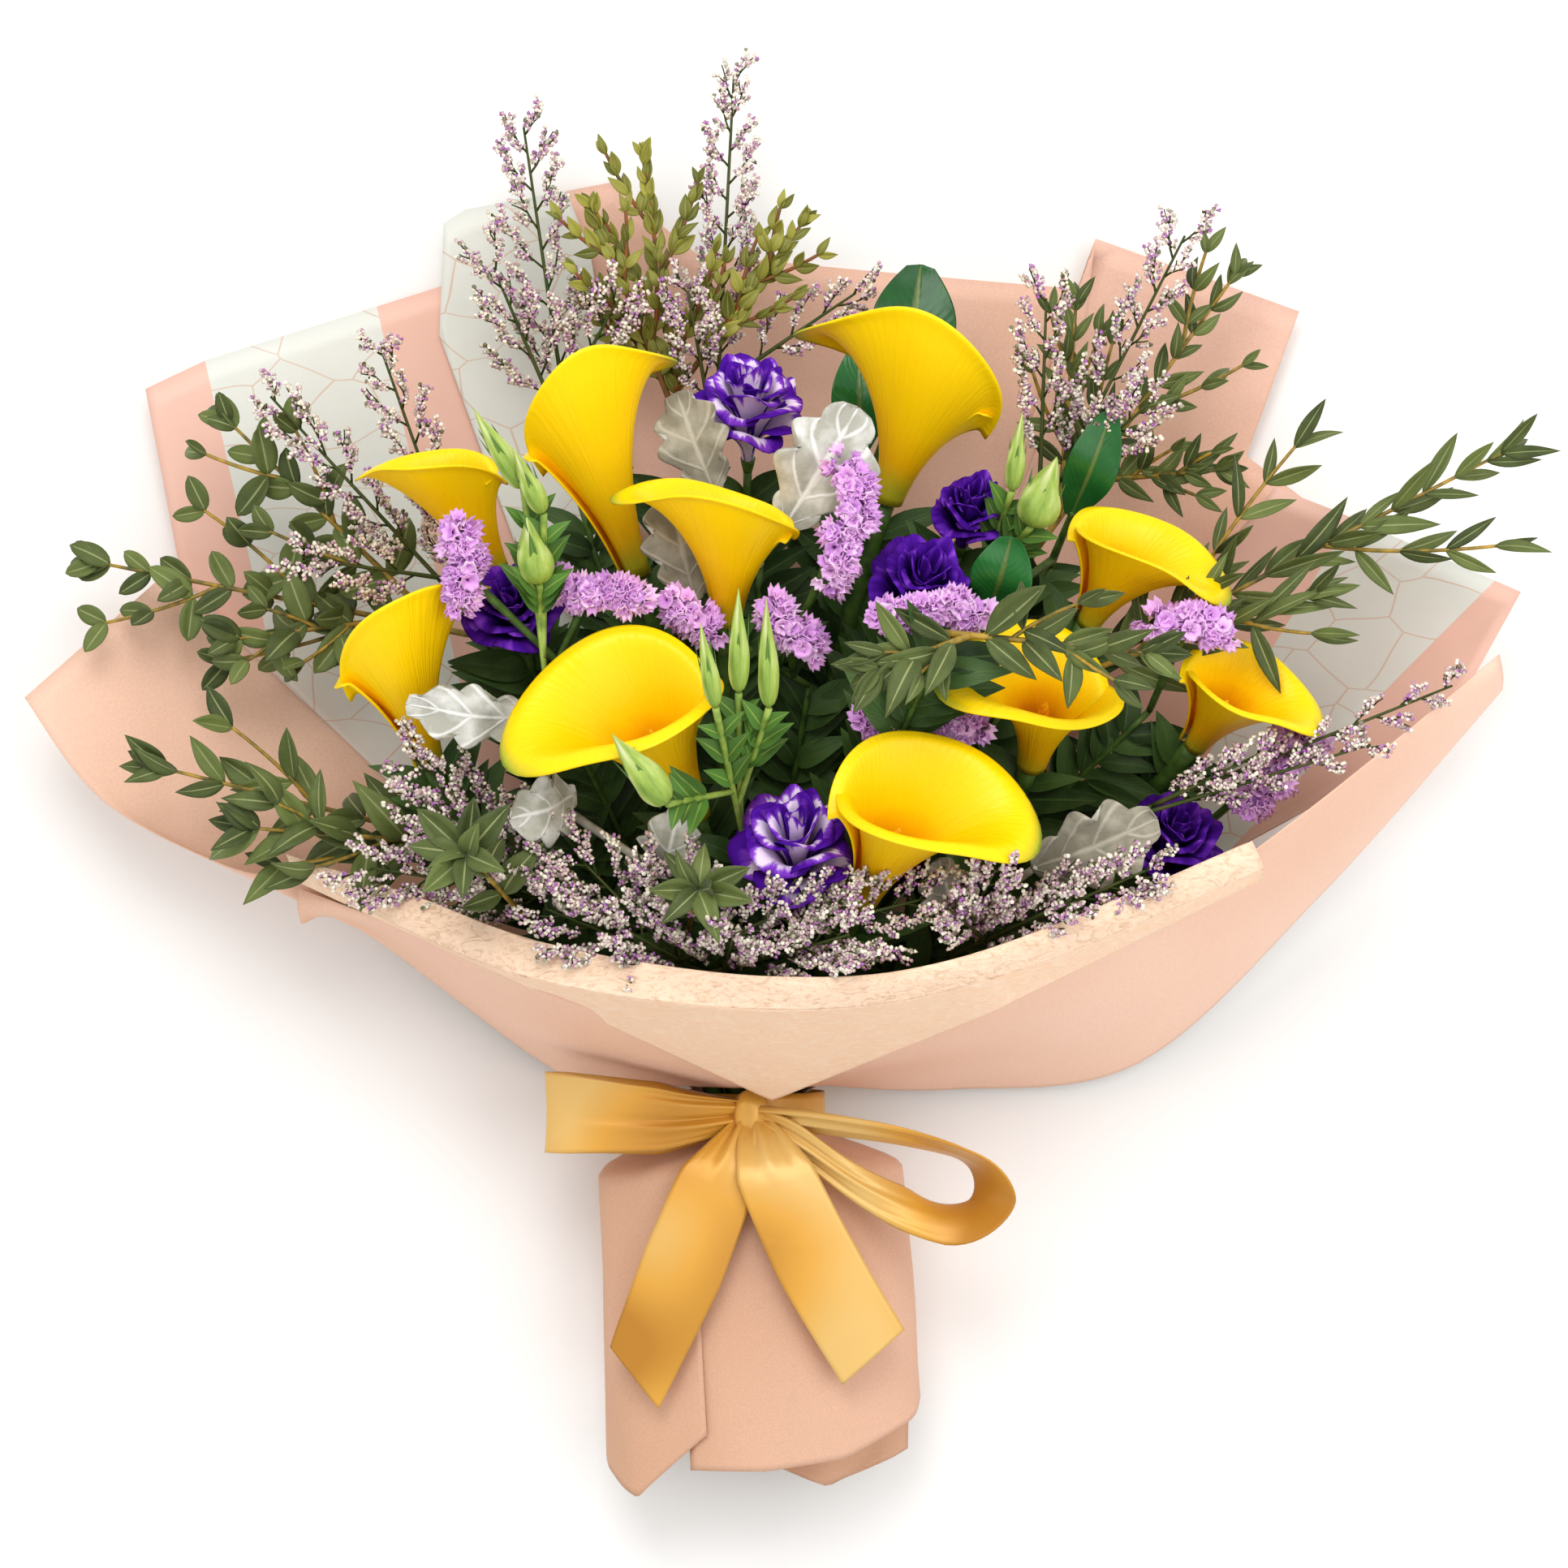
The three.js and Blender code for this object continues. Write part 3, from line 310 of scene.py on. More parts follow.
def arum_petal(name, look, roughness, stops):
    """Arum spathe: living petal, waxy and smooth, with fine veins from stem to rim and a green tip."""
    material, add = new_material(name, roughness, Specular_IOR_Level=0.35, Subsurface_Weight=0.12,
                                 Subsurface_Scale=0.004)
    uv, place = add("UVMap"), add("TexCoord").outputs["Object"]
    cloud = add("TexNoise", {"Vector": place, "Scale": 38.0, "Detail": 3.0})
    shift = add("MapRange", {"Value": cloud, "To Min": -0.14, "To Max": 0.14})
    height = add("SeparateXYZ", {"Vector": uv}).outputs["Y"]
    colour = add("ValToRGB", {"Fac": add("Math", {0: height, 1: shift}, operation="ADD")}, stops)
    from_tip = add("Mapping", {"Vector": uv, "Location": (-7.0, -11.0, 0.0), "Scale": (14.0, 11.0, 1.0)})
    away = add("VectorMath", {0: from_tip}, operation="LENGTH")
    green = add("MapRange", {"Value": away, "From Min": 0.15, "From Max": 0.9, "To Min": 0.85, "To Max": 0.0})
    tipped = add("Mix", {0: green, 6: colour, 7: look.arum_tip}, data_type="RGBA")
    lines = add("Mapping", {"Vector": uv, "Scale": (90.0, 2.2, 1.0)})
    veins = add("TexNoise", {"Vector": lines, "Scale": 1.0, "Detail": 2.0})
    return dress(material, tipped, add("Bump", {"Height": veins, "Strength": 0.6, "Distance": 0.0008}))


def arum_spadix(look):
    """Arum spadix: a club of tiny packed florets, so its surface is a fine mealy grain of about 1 mm."""
    material, add = new_material("arum_spadix_mealy", 0.8)
    grains = add("TexVoronoi", {"Vector": add("TexCoord").outputs["Object"], "Scale": 900.0})
    colour = add("ValToRGB", {"Fac": grains}, [(0.1, look.arum_yellow), (0.6, look.arum_throat)])
    bump = add("Bump", {"Height": grains, "Strength": 0.6, "Distance": 0.0005}, invert=True)
    return dress(material, colour, bump)


def paper_grain(add, place, strength, **creases):
    """A sheet's fibres and relief. The fibres, about 0.2 mm apart, are drawn at 0.8 mm so that they show."""
    fibres = add("TexNoise", {"Vector": place, "Scale": 1200.0, "Detail": 2.0})
    folds = add("TexNoise", {"Vector": place, **creases})
    soft = add("Bump", {"Height": folds, "Strength": 0.12, "Distance": 0.004})
    return fibres, add("Bump", {"Height": fibres, "Normal": soft, "Strength": strength, "Distance": 0.0003})


def wrapping_paper(name, base, deep):
    """Florist's matte coated paper: rolled smooth, so it shows soft creases and a faint fibre grain."""
    material, add = new_material(name, 0.62, Specular_IOR_Level=0.3)
    place = add("TexCoord").outputs["Object"]
    drift = add("TexNoise", {"Vector": place, "Scale": 6.0, "Detail": 2.0})
    tone = add("ValToRGB", {"Fac": drift}, [(0.3, base), (0.72, deep)])
    fibres, bump = paper_grain(add, place, 0.12, Scale=26.0, Detail=4.0, Distortion=0.6)
    fleck = add("MapRange", {
        "Value": fibres, "From Min": 0.3, "From Max": 0.7, "To Min": 0.94, "To Max": 1.04,
    })
    return dress(material, add("VectorMath", {0: tone, 1: fleck}, operation="MULTIPLY"), bump)


def crackle_paper(name, look, edges):
    """Coated white paper printed with a crackle of thin lines, its margins printed peach.

    Each edge of the printed field is a straight line: its direction across, and how far out it lies in
    millimetres. The cells are about 18 mm wide and the lines 0.5 mm.
    """
    material, add = new_material(name, 0.5, Specular_IOR_Level=0.35)
    place = add("TexCoord").outputs["Object"]
    sway = add("TexNoise", {"Vector": place, "Scale": 22.0, "Detail": 1.0}).outputs["Color"]
    centred = add("VectorMath", {0: sway, 1: (-0.5, -0.5, -0.5)}, operation="ADD")
    scaled = add("VectorMath", {0: centred, 1: (0.016, 0.016, 0.0)}, operation="MULTIPLY")
    moved = add("VectorMath", {0: place, 1: scaled}, operation="ADD")
    turned = add("Mapping", {"Vector": moved, "Rotation": (0.0, 0.0, 0.5), "Scale": (34.0, 52.0, 1.0)})
    cells = add("TexVoronoi", {"Vector": turned, "Scale": 1.0, "Randomness": 1.0}, feature="DISTANCE_TO_EDGE",
                voronoi_dimensions="2D")
    line = add("MapRange", {"Value": cells, "From Min": 0.004, "From Max": 0.02})
    colour = add("Mix", {0: line, 6: look.print_line, 7: look.print_white}, data_type="RGBA")
    for direction, limit in edges:
        across = add("VectorMath", {0: place, 1: direction}, operation="DOT_PRODUCT")
        beyond = add("Math", {0: across, 1: limit * MM}, operation="GREATER_THAN")
        colour = add("Mix", {0: beyond, 6: colour, 7: look.rose_paper}, data_type="RGBA")
    return dress(material, colour, paper_grain(add, place, 0.1, Scale=22.0, Detail=3.0)[1])


def fibrous_tissue(name, shade, look):
    """Mulberry tissue: long pale fibres felted into a thin sheet, so it is streaky and dull."""
    return grained(name, 0.85, [(0.32, shade), (0.5, look.cream_tissue), (0.7, look.tissue_light)],
                   {"Scale": 1.0, "Detail": 8.0, "Roughness": 0.75, "Distortion": 3.0}, (0.5, 0.0008),
                   {"Scale": (90.0, 210.0, 150.0), "Rotation": (0.0, 0.0, 0.12)}, Specular_IOR_Level=0.2)


def woven_satin(look):
    """Polyester satin ribbon: long floats along its length give it a bright streaky shine across them.

    The threads are about 0.15 mm apart and are drawn at 0.5 mm, so that they show in the render.
    """
    material, add = new_material("polyester_satin", 0.36, Specular_IOR_Level=0.6, Anisotropic=0.6,
                                 Sheen_Weight=0.25, Sheen_Roughness=0.4, Metallic=0.15)
    threads = add("Mapping", {"Vector": add("UVMap"), "Scale": (70.0, 2.0, 1.0)})
    weave = add("TexNoise", {"Vector": threads, "Scale": 1.0, "Detail": 1.0})
    # Painted highlight and painted shade: a broad noise lightens and darkens the ribbon's colour in soft
    # bands, standing in for the shine and shade that light gives it. The bands don't follow its folds.
    folds = add("TexNoise", {"Vector": add("TexCoord").outputs["Object"], "Scale": 15.0, "Detail": 0.0})
    colour = add("ValToRGB", {"Fac": folds}, [
        (0.34, look.satin_shade), (0.5, look.satin_gold), (0.68, look.satin_light),
    ])
    return dress(material, colour, add("Bump", {"Height": weave, "Strength": 0.12, "Distance": 0.0002}))


def velvet_petal(name, stops, margin):
    """Lisianthus petal: thin and velvety, with streaks that fan up from its foot into a darker margin."""
    material, add = new_material(name, 0.75, Specular_IOR_Level=0.15)
    uv = add("UVMap")
    centred = add("Mapping", {"Vector": uv, "Location": (-1.0, 0.0, 0.0), "Scale": (2.0, 1.0, 1.0)})
    outwards = add("VectorMath", {0: centred}, operation="LENGTH")
    rim = add("Math", {0: outwards, 1: 3.0}, operation="POWER")
    reach = add("Math", {0: rim, 1: margin}, operation="MULTIPLY")
    fan = add("Mapping", {"Vector": uv, "Scale": (8.0, 1.2, 1.0)})
    fibre = add("TexNoise", noise_dimensions="4D", inputs={
        "Vector": fan, "W": add("NewGeometry").outputs["Random Per Island"], "Scale": 1.0, "Detail": 4.0,
        "Distortion": 0.4,
    })
    level = add("Math", {0: reach, 1: fibre}, operation="ADD")
    veins = add("Mapping", {"Vector": uv, "Scale": (46.0, 2.0, 1.0)})
    ribs = add("TexNoise", {"Vector": veins, "Scale": 1.0, "Detail": 2.0})
    bump = add("Bump", {"Height": ribs, "Strength": 0.4, "Distance": 0.0006})
    return dress(material, add("ValToRGB", {"Fac": level}, stops), bump)


def papery_floret(name, tones):
    """Dry papery calyx: each floret has a tone of its own, with a fine fleck over it."""
    material, add = new_material(name, 0.75, Specular_IOR_Level=0.25)
    fleck = add("TexNoise", {"Vector": add("TexCoord").outputs["Object"], "Scale": 420.0, "Detail": 2.0})
    shift = add("MapRange", {"Value": fleck, "To Min": -0.14, "To Max": 0.14})
    both = add("Math", {0: add("NewGeometry").outputs["Random Per Island"], 1: shift}, operation="ADD")
    colour = add("ValToRGB", {"Fac": both}, [(i / (len(tones) - 1), tone) for i, tone in enumerate(tones)])
    return dress(material, colour, add("Bump", {"Height": fleck, "Strength": 0.5, "Distance": 0.0004}))


def leaf_axes(add):
    """How far from its midrib a place on a leaf lies, and how far along the leaf."""
    split = add("SeparateXYZ", {"Vector": add("UVMap")})
    middle = add("Math", {0: split.outputs["X"], 1: 0.5}, operation="SUBTRACT")
    return add("Math", {0: middle}, operation="ABSOLUTE"), split.outputs["Y"]


def leaf_skin(name, dark, light, rib, roughness, bloom=0.0):
    """A leaf's skin: its own tone of green, a paler midrib and side veins that press a little into it."""
    material, add = new_material(name, roughness, Specular_IOR_Level=0.4, Sheen_Weight=bloom)
    cloud = add("TexNoise", {"Vector": add("TexCoord").outputs["Object"], "Scale": 120.0, "Detail": 3.0})
    half = add("Math", {0: add("NewGeometry").outputs["Random Per Island"], 1: 0.55}, operation="MULTIPLY")
    mottle = add("Math", {0: cloud, 1: 0.45}, operation="MULTIPLY")
    tone = add("Math", {0: half, 1: mottle}, operation="ADD")
    colour = add("ValToRGB", {"Fac": tone}, [(0.1, dark), (0.8, light)])
    aside, ahead = leaf_axes(add)
    midrib = add("MapRange", {
        "Value": aside, "From Min": 0.02, "From Max": 0.06, "To Min": 0.75, "To Max": 0.0,
    })
    slant = add("Math", {0: aside, 1: -0.7}, operation="MULTIPLY")
    rise = add("Math", {0: ahead, 1: slant}, operation="ADD")
    veins = add("Math", {0: add("Math", {0: rise, 1: 75.0}, operation="MULTIPLY")}, operation="SINE")
    ribbed = add("Mix", {0: midrib, 6: colour, 7: rib}, data_type="RGBA")
    press = add("Math", {0: veins, 1: 0.12}, operation="MULTIPLY")
    relief = add("Math", {0: press, 1: midrib}, operation="SUBTRACT")
    return dress(material, ribbed, add("Bump", {"Height": relief, "Strength": 0.5, "Distance": 0.0004}))


def felted_leaf(name, tone, shade):
    """Dusty miller leaf: white hairs felted over a raised midrib and side veins, with no gloss. Between the
    veins its colour darkens, partly to the leaf's greyer blade and partly as painted shade.
    """
    material, add = new_material(name, 0.95, Specular_IOR_Level=0.1, Sheen_Weight=0.3, Sheen_Roughness=0.6)
    place = add("TexCoord").outputs["Object"]
    hairs = add("TexNoise", {"Vector": place, "Scale": 900.0, "Detail": 3.0})
    cloud = add("TexNoise", {"Vector": place, "Scale": 90.0, "Detail": 4.0})
    aside, ahead = leaf_axes(add)
    slant = add("Math", {0: aside, 1: -0.55, 2: ahead}, operation="MULTIPLY_ADD")
    wander = add("Math", {0: cloud, 1: 0.06, 2: slant}, operation="MULTIPLY_ADD")
    ranks = add("Math", {0: wander, 1: 1 / 0.13}, operation="MULTIPLY")
    rank = add("Math", {0: ranks, 1: 1.0}, operation="PINGPONG")
    side_vein = add("MapRange", {"Value": rank, "From Max": 0.22, "To Min": 1.0, "To Max": 0.0})
    midrib = add("MapRange", {
        "Value": aside, "From Min": 0.01, "From Max": 0.05, "To Min": 1.0, "To Max": 0.0,
    })
    ribs = add("Math", {0: side_vein, 1: midrib}, operation="MAXIMUM")
    # Away from the raised veins the colour goes towards the darker stop: partly the blade's own tone, partly
    # painted shade that makes the veins stand out.
    level = add("Math", {0: ribs, 1: -0.3, 2: cloud}, operation="MULTIPLY_ADD")
    relief = add("Math", {0: hairs, 1: 0.35, 2: ribs}, operation="MULTIPLY_ADD")
    bump = add("Bump", {"Height": relief, "Strength": 0.7, "Distance": 0.0006})
    return dress(material, add("ValToRGB", {"Fac": level}, [(0.22, tone), (0.56, shade)]), bump)


def green_stem(name, tone, shade, roughness=0.5):
    """A green stem's skin: lengthwise ribs too fine to count, with woody flecks."""
    stops = [(0.3, shade), (0.65, tone)]
    return grained(name, roughness, stops, {"Scale": 160.0, "Detail": 4.0}, (0.3, 0.0005))


def bud_skin(look):
    """Lisianthus bud: rolled young petals, pale green with cream ridges that wind up to the tip."""
    stops = [(0.32, look.bud_shade), (0.5, look.bud_green), (0.7, look.bud_cream)]
    return grained("lisianthus_bud", 0.5, stops, {"Scale": 1.0, "Detail": 4.0}, (0.4, 0.0005),
                   {"Scale": (5.0, 1.4, 1.0), "Rotation": (0.0, 0.0, 0.5)}, on_uv=True,
                   Specular_IOR_Level=0.35, Subsurface_Weight=0.08, Subsurface_Scale=0.003)


def matte_floor():
    """Painted studio board: pale and matte, with the faint unevenness of a rolled coat."""
    return grained("painted_board", 0.9, [(0.0, linear("#f3f2f0")), (1.0, linear("#f8f7f5"))],
                   {"Scale": 3.0, "Detail": 2.0})


# ---------------- sizes and colours that a user would change


def size_property(name, description, millimetres):
    return FloatProperty(name=name, description=description, unit="LENGTH", default=millimetres * MM, min=0.0)


class BouquetSizes(bpy.types.PropertyGroup):
    paper: size_property("Paper", "Thickness of a wrapping sheet", 0.5)
    ribbon: size_property("Ribbon", "Thickness of the satin ribbon", 0.5)
    spathe: size_property("Spathe", "Thickness of an arum lily's spathe", 0.9)
    petal: size_property("Petal", "Thickness of a lisianthus petal", 0.4)
    leaf: size_property("Leaf", "Thickness of a leaf", 0.5)
    felt: size_property("Felted leaf", "Thickness of a dusty miller leaf", 0.9)
    statice_floret: size_property("Statice floret", "Radius of a statice floret's rim", 3.4)
    lavender_floret: size_property("Sea lavender floret", "Radius of a sea lavender floret's rim", 1.0)
    seed: IntProperty(name="Seed", description="Changes how leaves and florets vary", default=7, min=0)


# Each colour: what it is on, and its sRGB hex.
COLOURS = {
    "arum_yellow": ("Most of an arum lily's spathe", "#fdce00"),
    "arum_bright": ("The spathe near its rim", "#ffda0a"),
    "arum_shade": ("The spathe low on its tube", "#f0b800"),
    "arum_stem": ("The spathe where it meets the stem", "#b9b02a"),
    "arum_tip": ("The point of the spathe", "#8aa83a"),
    "arum_throat": ("Inside the tube", "#e59f06"),
    "peach_paper": ("The plain wrapping paper", "#e6bca3"),
    "peach_light": ("The wrapping paper where it is palest", "#efcab5"),
    "handle_paper": ("The skirt of paper round the stems", "#cda387"),
    "handle_light": ("The skirt where it is palest", "#d9b29c"),
    # The lining's peach is darkened, partly as painted shade under the skirt's hem.
    "lining": ("The crumpled lining below the skirt's hem", "#c8967a"),
    "rose_paper": ("The wrapping paper behind the flowers", "#eec3b2"),
    "print_white": ("The white field of the printed paper", "#e4e4dc"),
    "print_line": ("The crackle lines of the printed paper", "#dcc4b2"),
    "cream_tissue": ("The fibrous tissue inside the rim", "#f3d3b8"),
    "tissue_shade": ("Between the fibres of the tissue", "#f0cba8"),
    "collar_shade": ("Between the fibres where the tissue folds over", "#c9ab8e"),
    "tissue_light": ("The fibres of the tissue", "#f6e0ca"),
    # The ribbon's painted shade and painted highlight, laid in soft bands of noise rather than in its folds.
    "satin_gold": ("The ribbon", "#d8a243"),
    "satin_shade": ("The ribbon in its folds", "#b98229"),
    "satin_light": ("The ribbon where it shines", "#dcb66e"),
    "lisianthus_purple": ("Most of a lisianthus petal", "#55179c"),
    "lisianthus_deep": ("The darkest of a lisianthus petal", "#360b66"),
    "lisianthus_violet": ("The lightest of a plain lisianthus petal", "#8f4ccc"),
    "lisianthus_pale": ("The pale streaks of a variegated petal", "#f0def4"),
    "statice_lilac": ("A statice floret", "#ebb6ec"),
    "statice_deep": ("The darkest statice floret", "#d29cdc"),
    "statice_pale": ("The palest statice floret", "#f7d8f5"),
    "lavender_white": ("The pale calyx of most florets", "#f3ebdc"),
    "lavender_pink": ("The pinkest calyx", "#cfb0b2"),
    "lavender_purple": ("The small purple corolla", "#b26fbc"),
    "twig_green": ("Sea lavender twigs", "#56562c"),
    "eucalyptus_dark": ("The darkest eucalyptus leaf", "#2f3b15"),
    "eucalyptus_light": ("The lightest eucalyptus leaf", "#707d42"),
    "eucalyptus_rib": ("The midrib of a eucalyptus leaf", "#a5aa78"),
    # The inner leaves are dark partly as painted shade, filling the depth between the heads.
    "leaf_dark": ("The darkest leaf between the stems", "#1f3318"),
    "leaf_green": ("The lightest leaf between the stems", "#54723a"),
    "golden_stem": ("Eucalyptus stems", "#b8963c"),
    "box_dark": ("The darkest box leaf", "#565c22"),
    "box_light": ("The lightest box leaf", "#a3a048"),
    "red_stem": ("Box stems", "#96562c"),
    "felt_silver": ("Dusty miller leaves", "#eeede8"),
    # The blade between the dusty miller's veins: partly its own greyer tone, partly painted shade.
    "felt_shade": ("Between the veins of dusty miller leaves", "#aeada1"),
    "felt_back": ("The underside of dusty miller leaves", "#bdb7a6"),
    "felt_back_shade": ("The underside between its veins", "#8f8a7a"),
    "bud_green": ("Lisianthus buds", "#a3b85c"),
    "bud_shade": ("Between the rolled petals of a bud", "#6f8c3a"),
    "bud_cream": ("The ridges of a bud", "#dcdcb0"),
    "sepal_green": ("A bud's sepals and the leaves on its stalk", "#5f8a3a"),
    "gloss_dark": ("The darkest broad leaf", "#123c1c"),
    "gloss_light": ("The lightest broad leaf", "#2f7438"),
    "stem_green": ("The cut stems", "#5c7a36"),
    "stem_shade": ("The cut stems in shade", "#37521f"),
}


class BouquetColours(bpy.types.PropertyGroup):
    __annotations__ = {
        name: FloatVectorProperty(name=name.replace("_", " ").capitalize(), description=about,
                                  default=linear(tone), subtype="COLOR", size=4, min=0.0, max=1.0)
        for name, (about, tone) in COLOURS.items()
    }


def chosen(context):
    """The colours and the sizes as the user has set them."""
    return context.scene.bouquet_colours, context.scene.bouquet_sizes


def pieces(plans, seed=0):
    """The node and plan of each piece in a table, with an empty mesh and random numbers of its own."""
    for i, (node, plan) in enumerate(plans.items()):
        yield node, plan, empty_mesh(), random.Random(seed + i)


# ---------------- wrapping paper

PAPER_SPACING = 2.4  # from one lying sheet to the next
GATHER_RADIUS = 27  # of the lowest sheet, where the waist is tied
SKIRT_X, SKIRT_Z = -7, 38.6  # middle of the skirt below the tie
SKIRT_TIED, SKIRT_WIDE, SKIRT_HIGH = 23, 64, 37  # its radius at the tie, and half its width and height below

# Sheets that lie under the flowers, fanned from the waist to their rims: the angles round the waist between
# which each is gathered, its layer from the surface up, and how far its rim is lifted.
BACK_SHEETS = table("rim start end layer lift", {
    "paper_back": (
        [(-150, 165), (-94, 251), (-74, 255), (-37, 225), (35, 218), (125, 210), (165, 180)], 232, 308, 0, 0),
    "paper_back_left": (
        [(-255, 87), (-264, 135), (-270, 167), (-245, 179), (-142, 212), (-120, 205)], 200, 231, 1, 0),
    "paper_back_right": ([(128, 196), (132, 231), (218, 200), (196, 139), (228, 115)], 308, 330, 1, 0),
    "paper_fold_left": ([(-146, 190), (-144, 237), (-135, 243), (-92, 251), (-82, 225)], 224, 240, 2, 0),
    "paper_right": ([(205, 124), (228, 115), (307, 80), (275, 22), (211, -15)], 330, 366, 2, 40),
})

# The straight edges of the printed field on each printed sheet: a direction, and how far out the field ends.
PRINTED_FIELDS = {
    "paper_back_left": [((-1.0, -0.22, 0.0), 205.5), ((1.0, 0.22, 0.0), -128.0)],
    "paper_fold_left": [],
    "paper_right": [((0.721, -0.693, 0.0), 154.9), ((-0.864, 0.505, 0.0), -148.7)],
}

# Sheets stretched between two edges: how far each bulges upwards between them, and which point of its upper
# edge is a sharp corner, 0 for none.
FRONT_SHEETS = table("low high bulge corner", {
    "paper_left_wing": (
        [(-31, -128, 20), (-33, -128, 24), (-34, -128, 28), (-34, -128, 32), (-34, -127, 36)],
        [(-259, 89, 36), (-316, 36, 62), (-284, -6, 66), (-234, -33, 72), (-204, -39, 76)], 0, 1),
    "paper_front_left": (
        [(-201, -58, 62), (-179, -60, 40), (-102, -118, 10), (-75, -127, 12), (-42, -126, 40)],
        [(-201, -43, 79), (-152, -60, 119), (-109, -79, 152), (-62, -98, 132), (-14, -126, 68)], 10, 0),
    "paper_right_wing": (
        [(297, 39, 80), (225, -46, 44), (150, -118, 12), (71, -129, 12), (15, -126, 42)],
        [(293, 53, 108), (211, -11, 150), (145, -57, 151), (83, -87, 151), (-2, -126, 66)], 10, 0),
    "paper_front_band": (
        [(-202, -40, 82), (-109, -79, 156), (-5, -131, 78), (83, -92, 156), (193, -38, 156)],
        [(-202, -36, 86), (-109, -76, 160), (-3, -90, 178), (83, -78, 176), (193, -34, 162)], 0, 0),
    "tissue_collar": (
        [(-36, -126, 42), (-30, -126, 50), (-20, -126, 56), (-12, -126, 58), (-4, -126, 56), (4, -126, 48)],
        [(-205, -29, 90), (-152, -45, 128), (-92, -65, 162), (-2, -77, 184), (75, -68, 184), (188, -23, 164)],
        0, 0),
})

# The two sheets of the skirt round the stems below the tie: the angles between which each goes round them,
# the uneven hem that it is cut to, and how far it lies inside the other.
HANDLE_SHEETS = table("start end hem inset", {
    "handle_paper_left": (112, 266, [-270.0, -297.0, -286.0, -264.0, -255.0, -250.0], 0),
    "handle_paper_front": (-88, 120, [-250.0, -250.0, -251.0, -258.0, -268.0, -280.0, -285.0, -285.0], 2.4),
})


def lay_back_sheet(bm, plan):
    rim, layer = points([(x, y, 0) for x, y in plan["rim"]]), plan["layer"]
    radius = GATHER_RADIUS - PAPER_SPACING * layer

    def place(u, row):
        v = row ** 1.3
        angle = math.radians(mix(plan["start"], plan["end"], u))
        aside, up = radius * math.cos(angle), radius * math.sin(angle)
        gathered = Vector((WAIST.x + aside, WAIST.y + 5, WAIST.z + up))
        spot = mix(gathered, along(rim, u), v)
        reach = math.hypot(spot.x, spot.y - 20)
        lying = 0.4 + PAPER_SPACING * layer + 14 * ease(reach, 170, 350) + plan["lift"] * v ** 3
        spot.z = mix(gathered.z, lying, ease(v, 0, 0.25))
        spot.z += abs(crumple(spot + Vector((0, 0, 40 * layer)), 70, 1.6)) * ease(v, 0.1, 0.5)
        return spot

    lay_surface(bm, 8 * (len(rim) - 1), 48, place)


def lay_front_sheet(bm, plan, sharp_low=False):
    low = points(plan["low"]) if sharp_low else smooth_row(points(plan["low"]))
    high, corner = points(plan["high"]), plan["corner"]
    high = (smooth_row(high[:corner + 1])[:-1] if corner else []) + smooth_row(high[corner:])

    def place(u, v):
        arch = math.sin(math.pi * v)
        spot = mix(along(low, u), along(high, u), v)
        spot.z += plan["bulge"] * arch
        tied = plan["bulge"] / 10 * (1 - ease((spot - WAIST).length, 70, 150))
        creased = crumple(spot, 55, 2.6) + crumple(spot, 18, 0.5) + crumple(spot, 12, 1.8) * tied
        return spot + Vector((0.2, 0.3, 1)) * creased * arch ** 0.5

    lay_surface(bm, 64, 36, place)


def lay_handle_sheet(bm, plan):
    hem, inset = plan["hem"], plan["inset"]

    def place(u, v):
        angle = math.radians(mix(plan["start"], plan["end"], u))
        opened = ease(v, 0, 0.17)
        pleat = 0.7 * math.sin(angle * 17) * (1 - opened)
        half_width = mix(SKIRT_TIED, SKIRT_WIDE, opened) - inset + 3 * v + pleat
        half_height = mix(SKIRT_TIED, SKIRT_HIGH, opened) - inset + pleat
        spot = Vector((
            mix(WAIST.x, SKIRT_X, v) + half_width * math.cos(angle),
            mix(WAIST.y - 5, along(hem, u), v),
            mix(WAIST.z, SKIRT_Z, opened) + half_height * math.sin(angle),
        ))
        fold = crumple(spot, 45, 1.0) + 0.7 * math.sin(9 * angle + 4 * v)
        return spot + Vector((math.cos(angle), 0, math.sin(angle))) * fold * opened * ease(spot.z, 4, 20)

    lay_surface(bm, 72, 48, place)


def lay_inner_hem(bm):
    """The crumpled foot of the lining inside the skirt, which shows below its hem. Its colour is a darker
    peach, partly painted shade under the hem.
    """
    def place(u, v):
        x = mix(-18, 52, u)
        spot = Vector((x, mix(-236, -294 + 0.42 * abs(x - 18), v), 0))
        spot.z = SKIRT_Z + 28 * math.sqrt(1 - ((x - SKIRT_X) / 62) ** 2) - 20 * v * v
        spot.z += (2.5 * math.sin(13 * u + 3 * v) + crumple(spot, 10, 5)) * v ** 3
        return spot

    lay_surface(bm, 24, 20, place, finish=1)


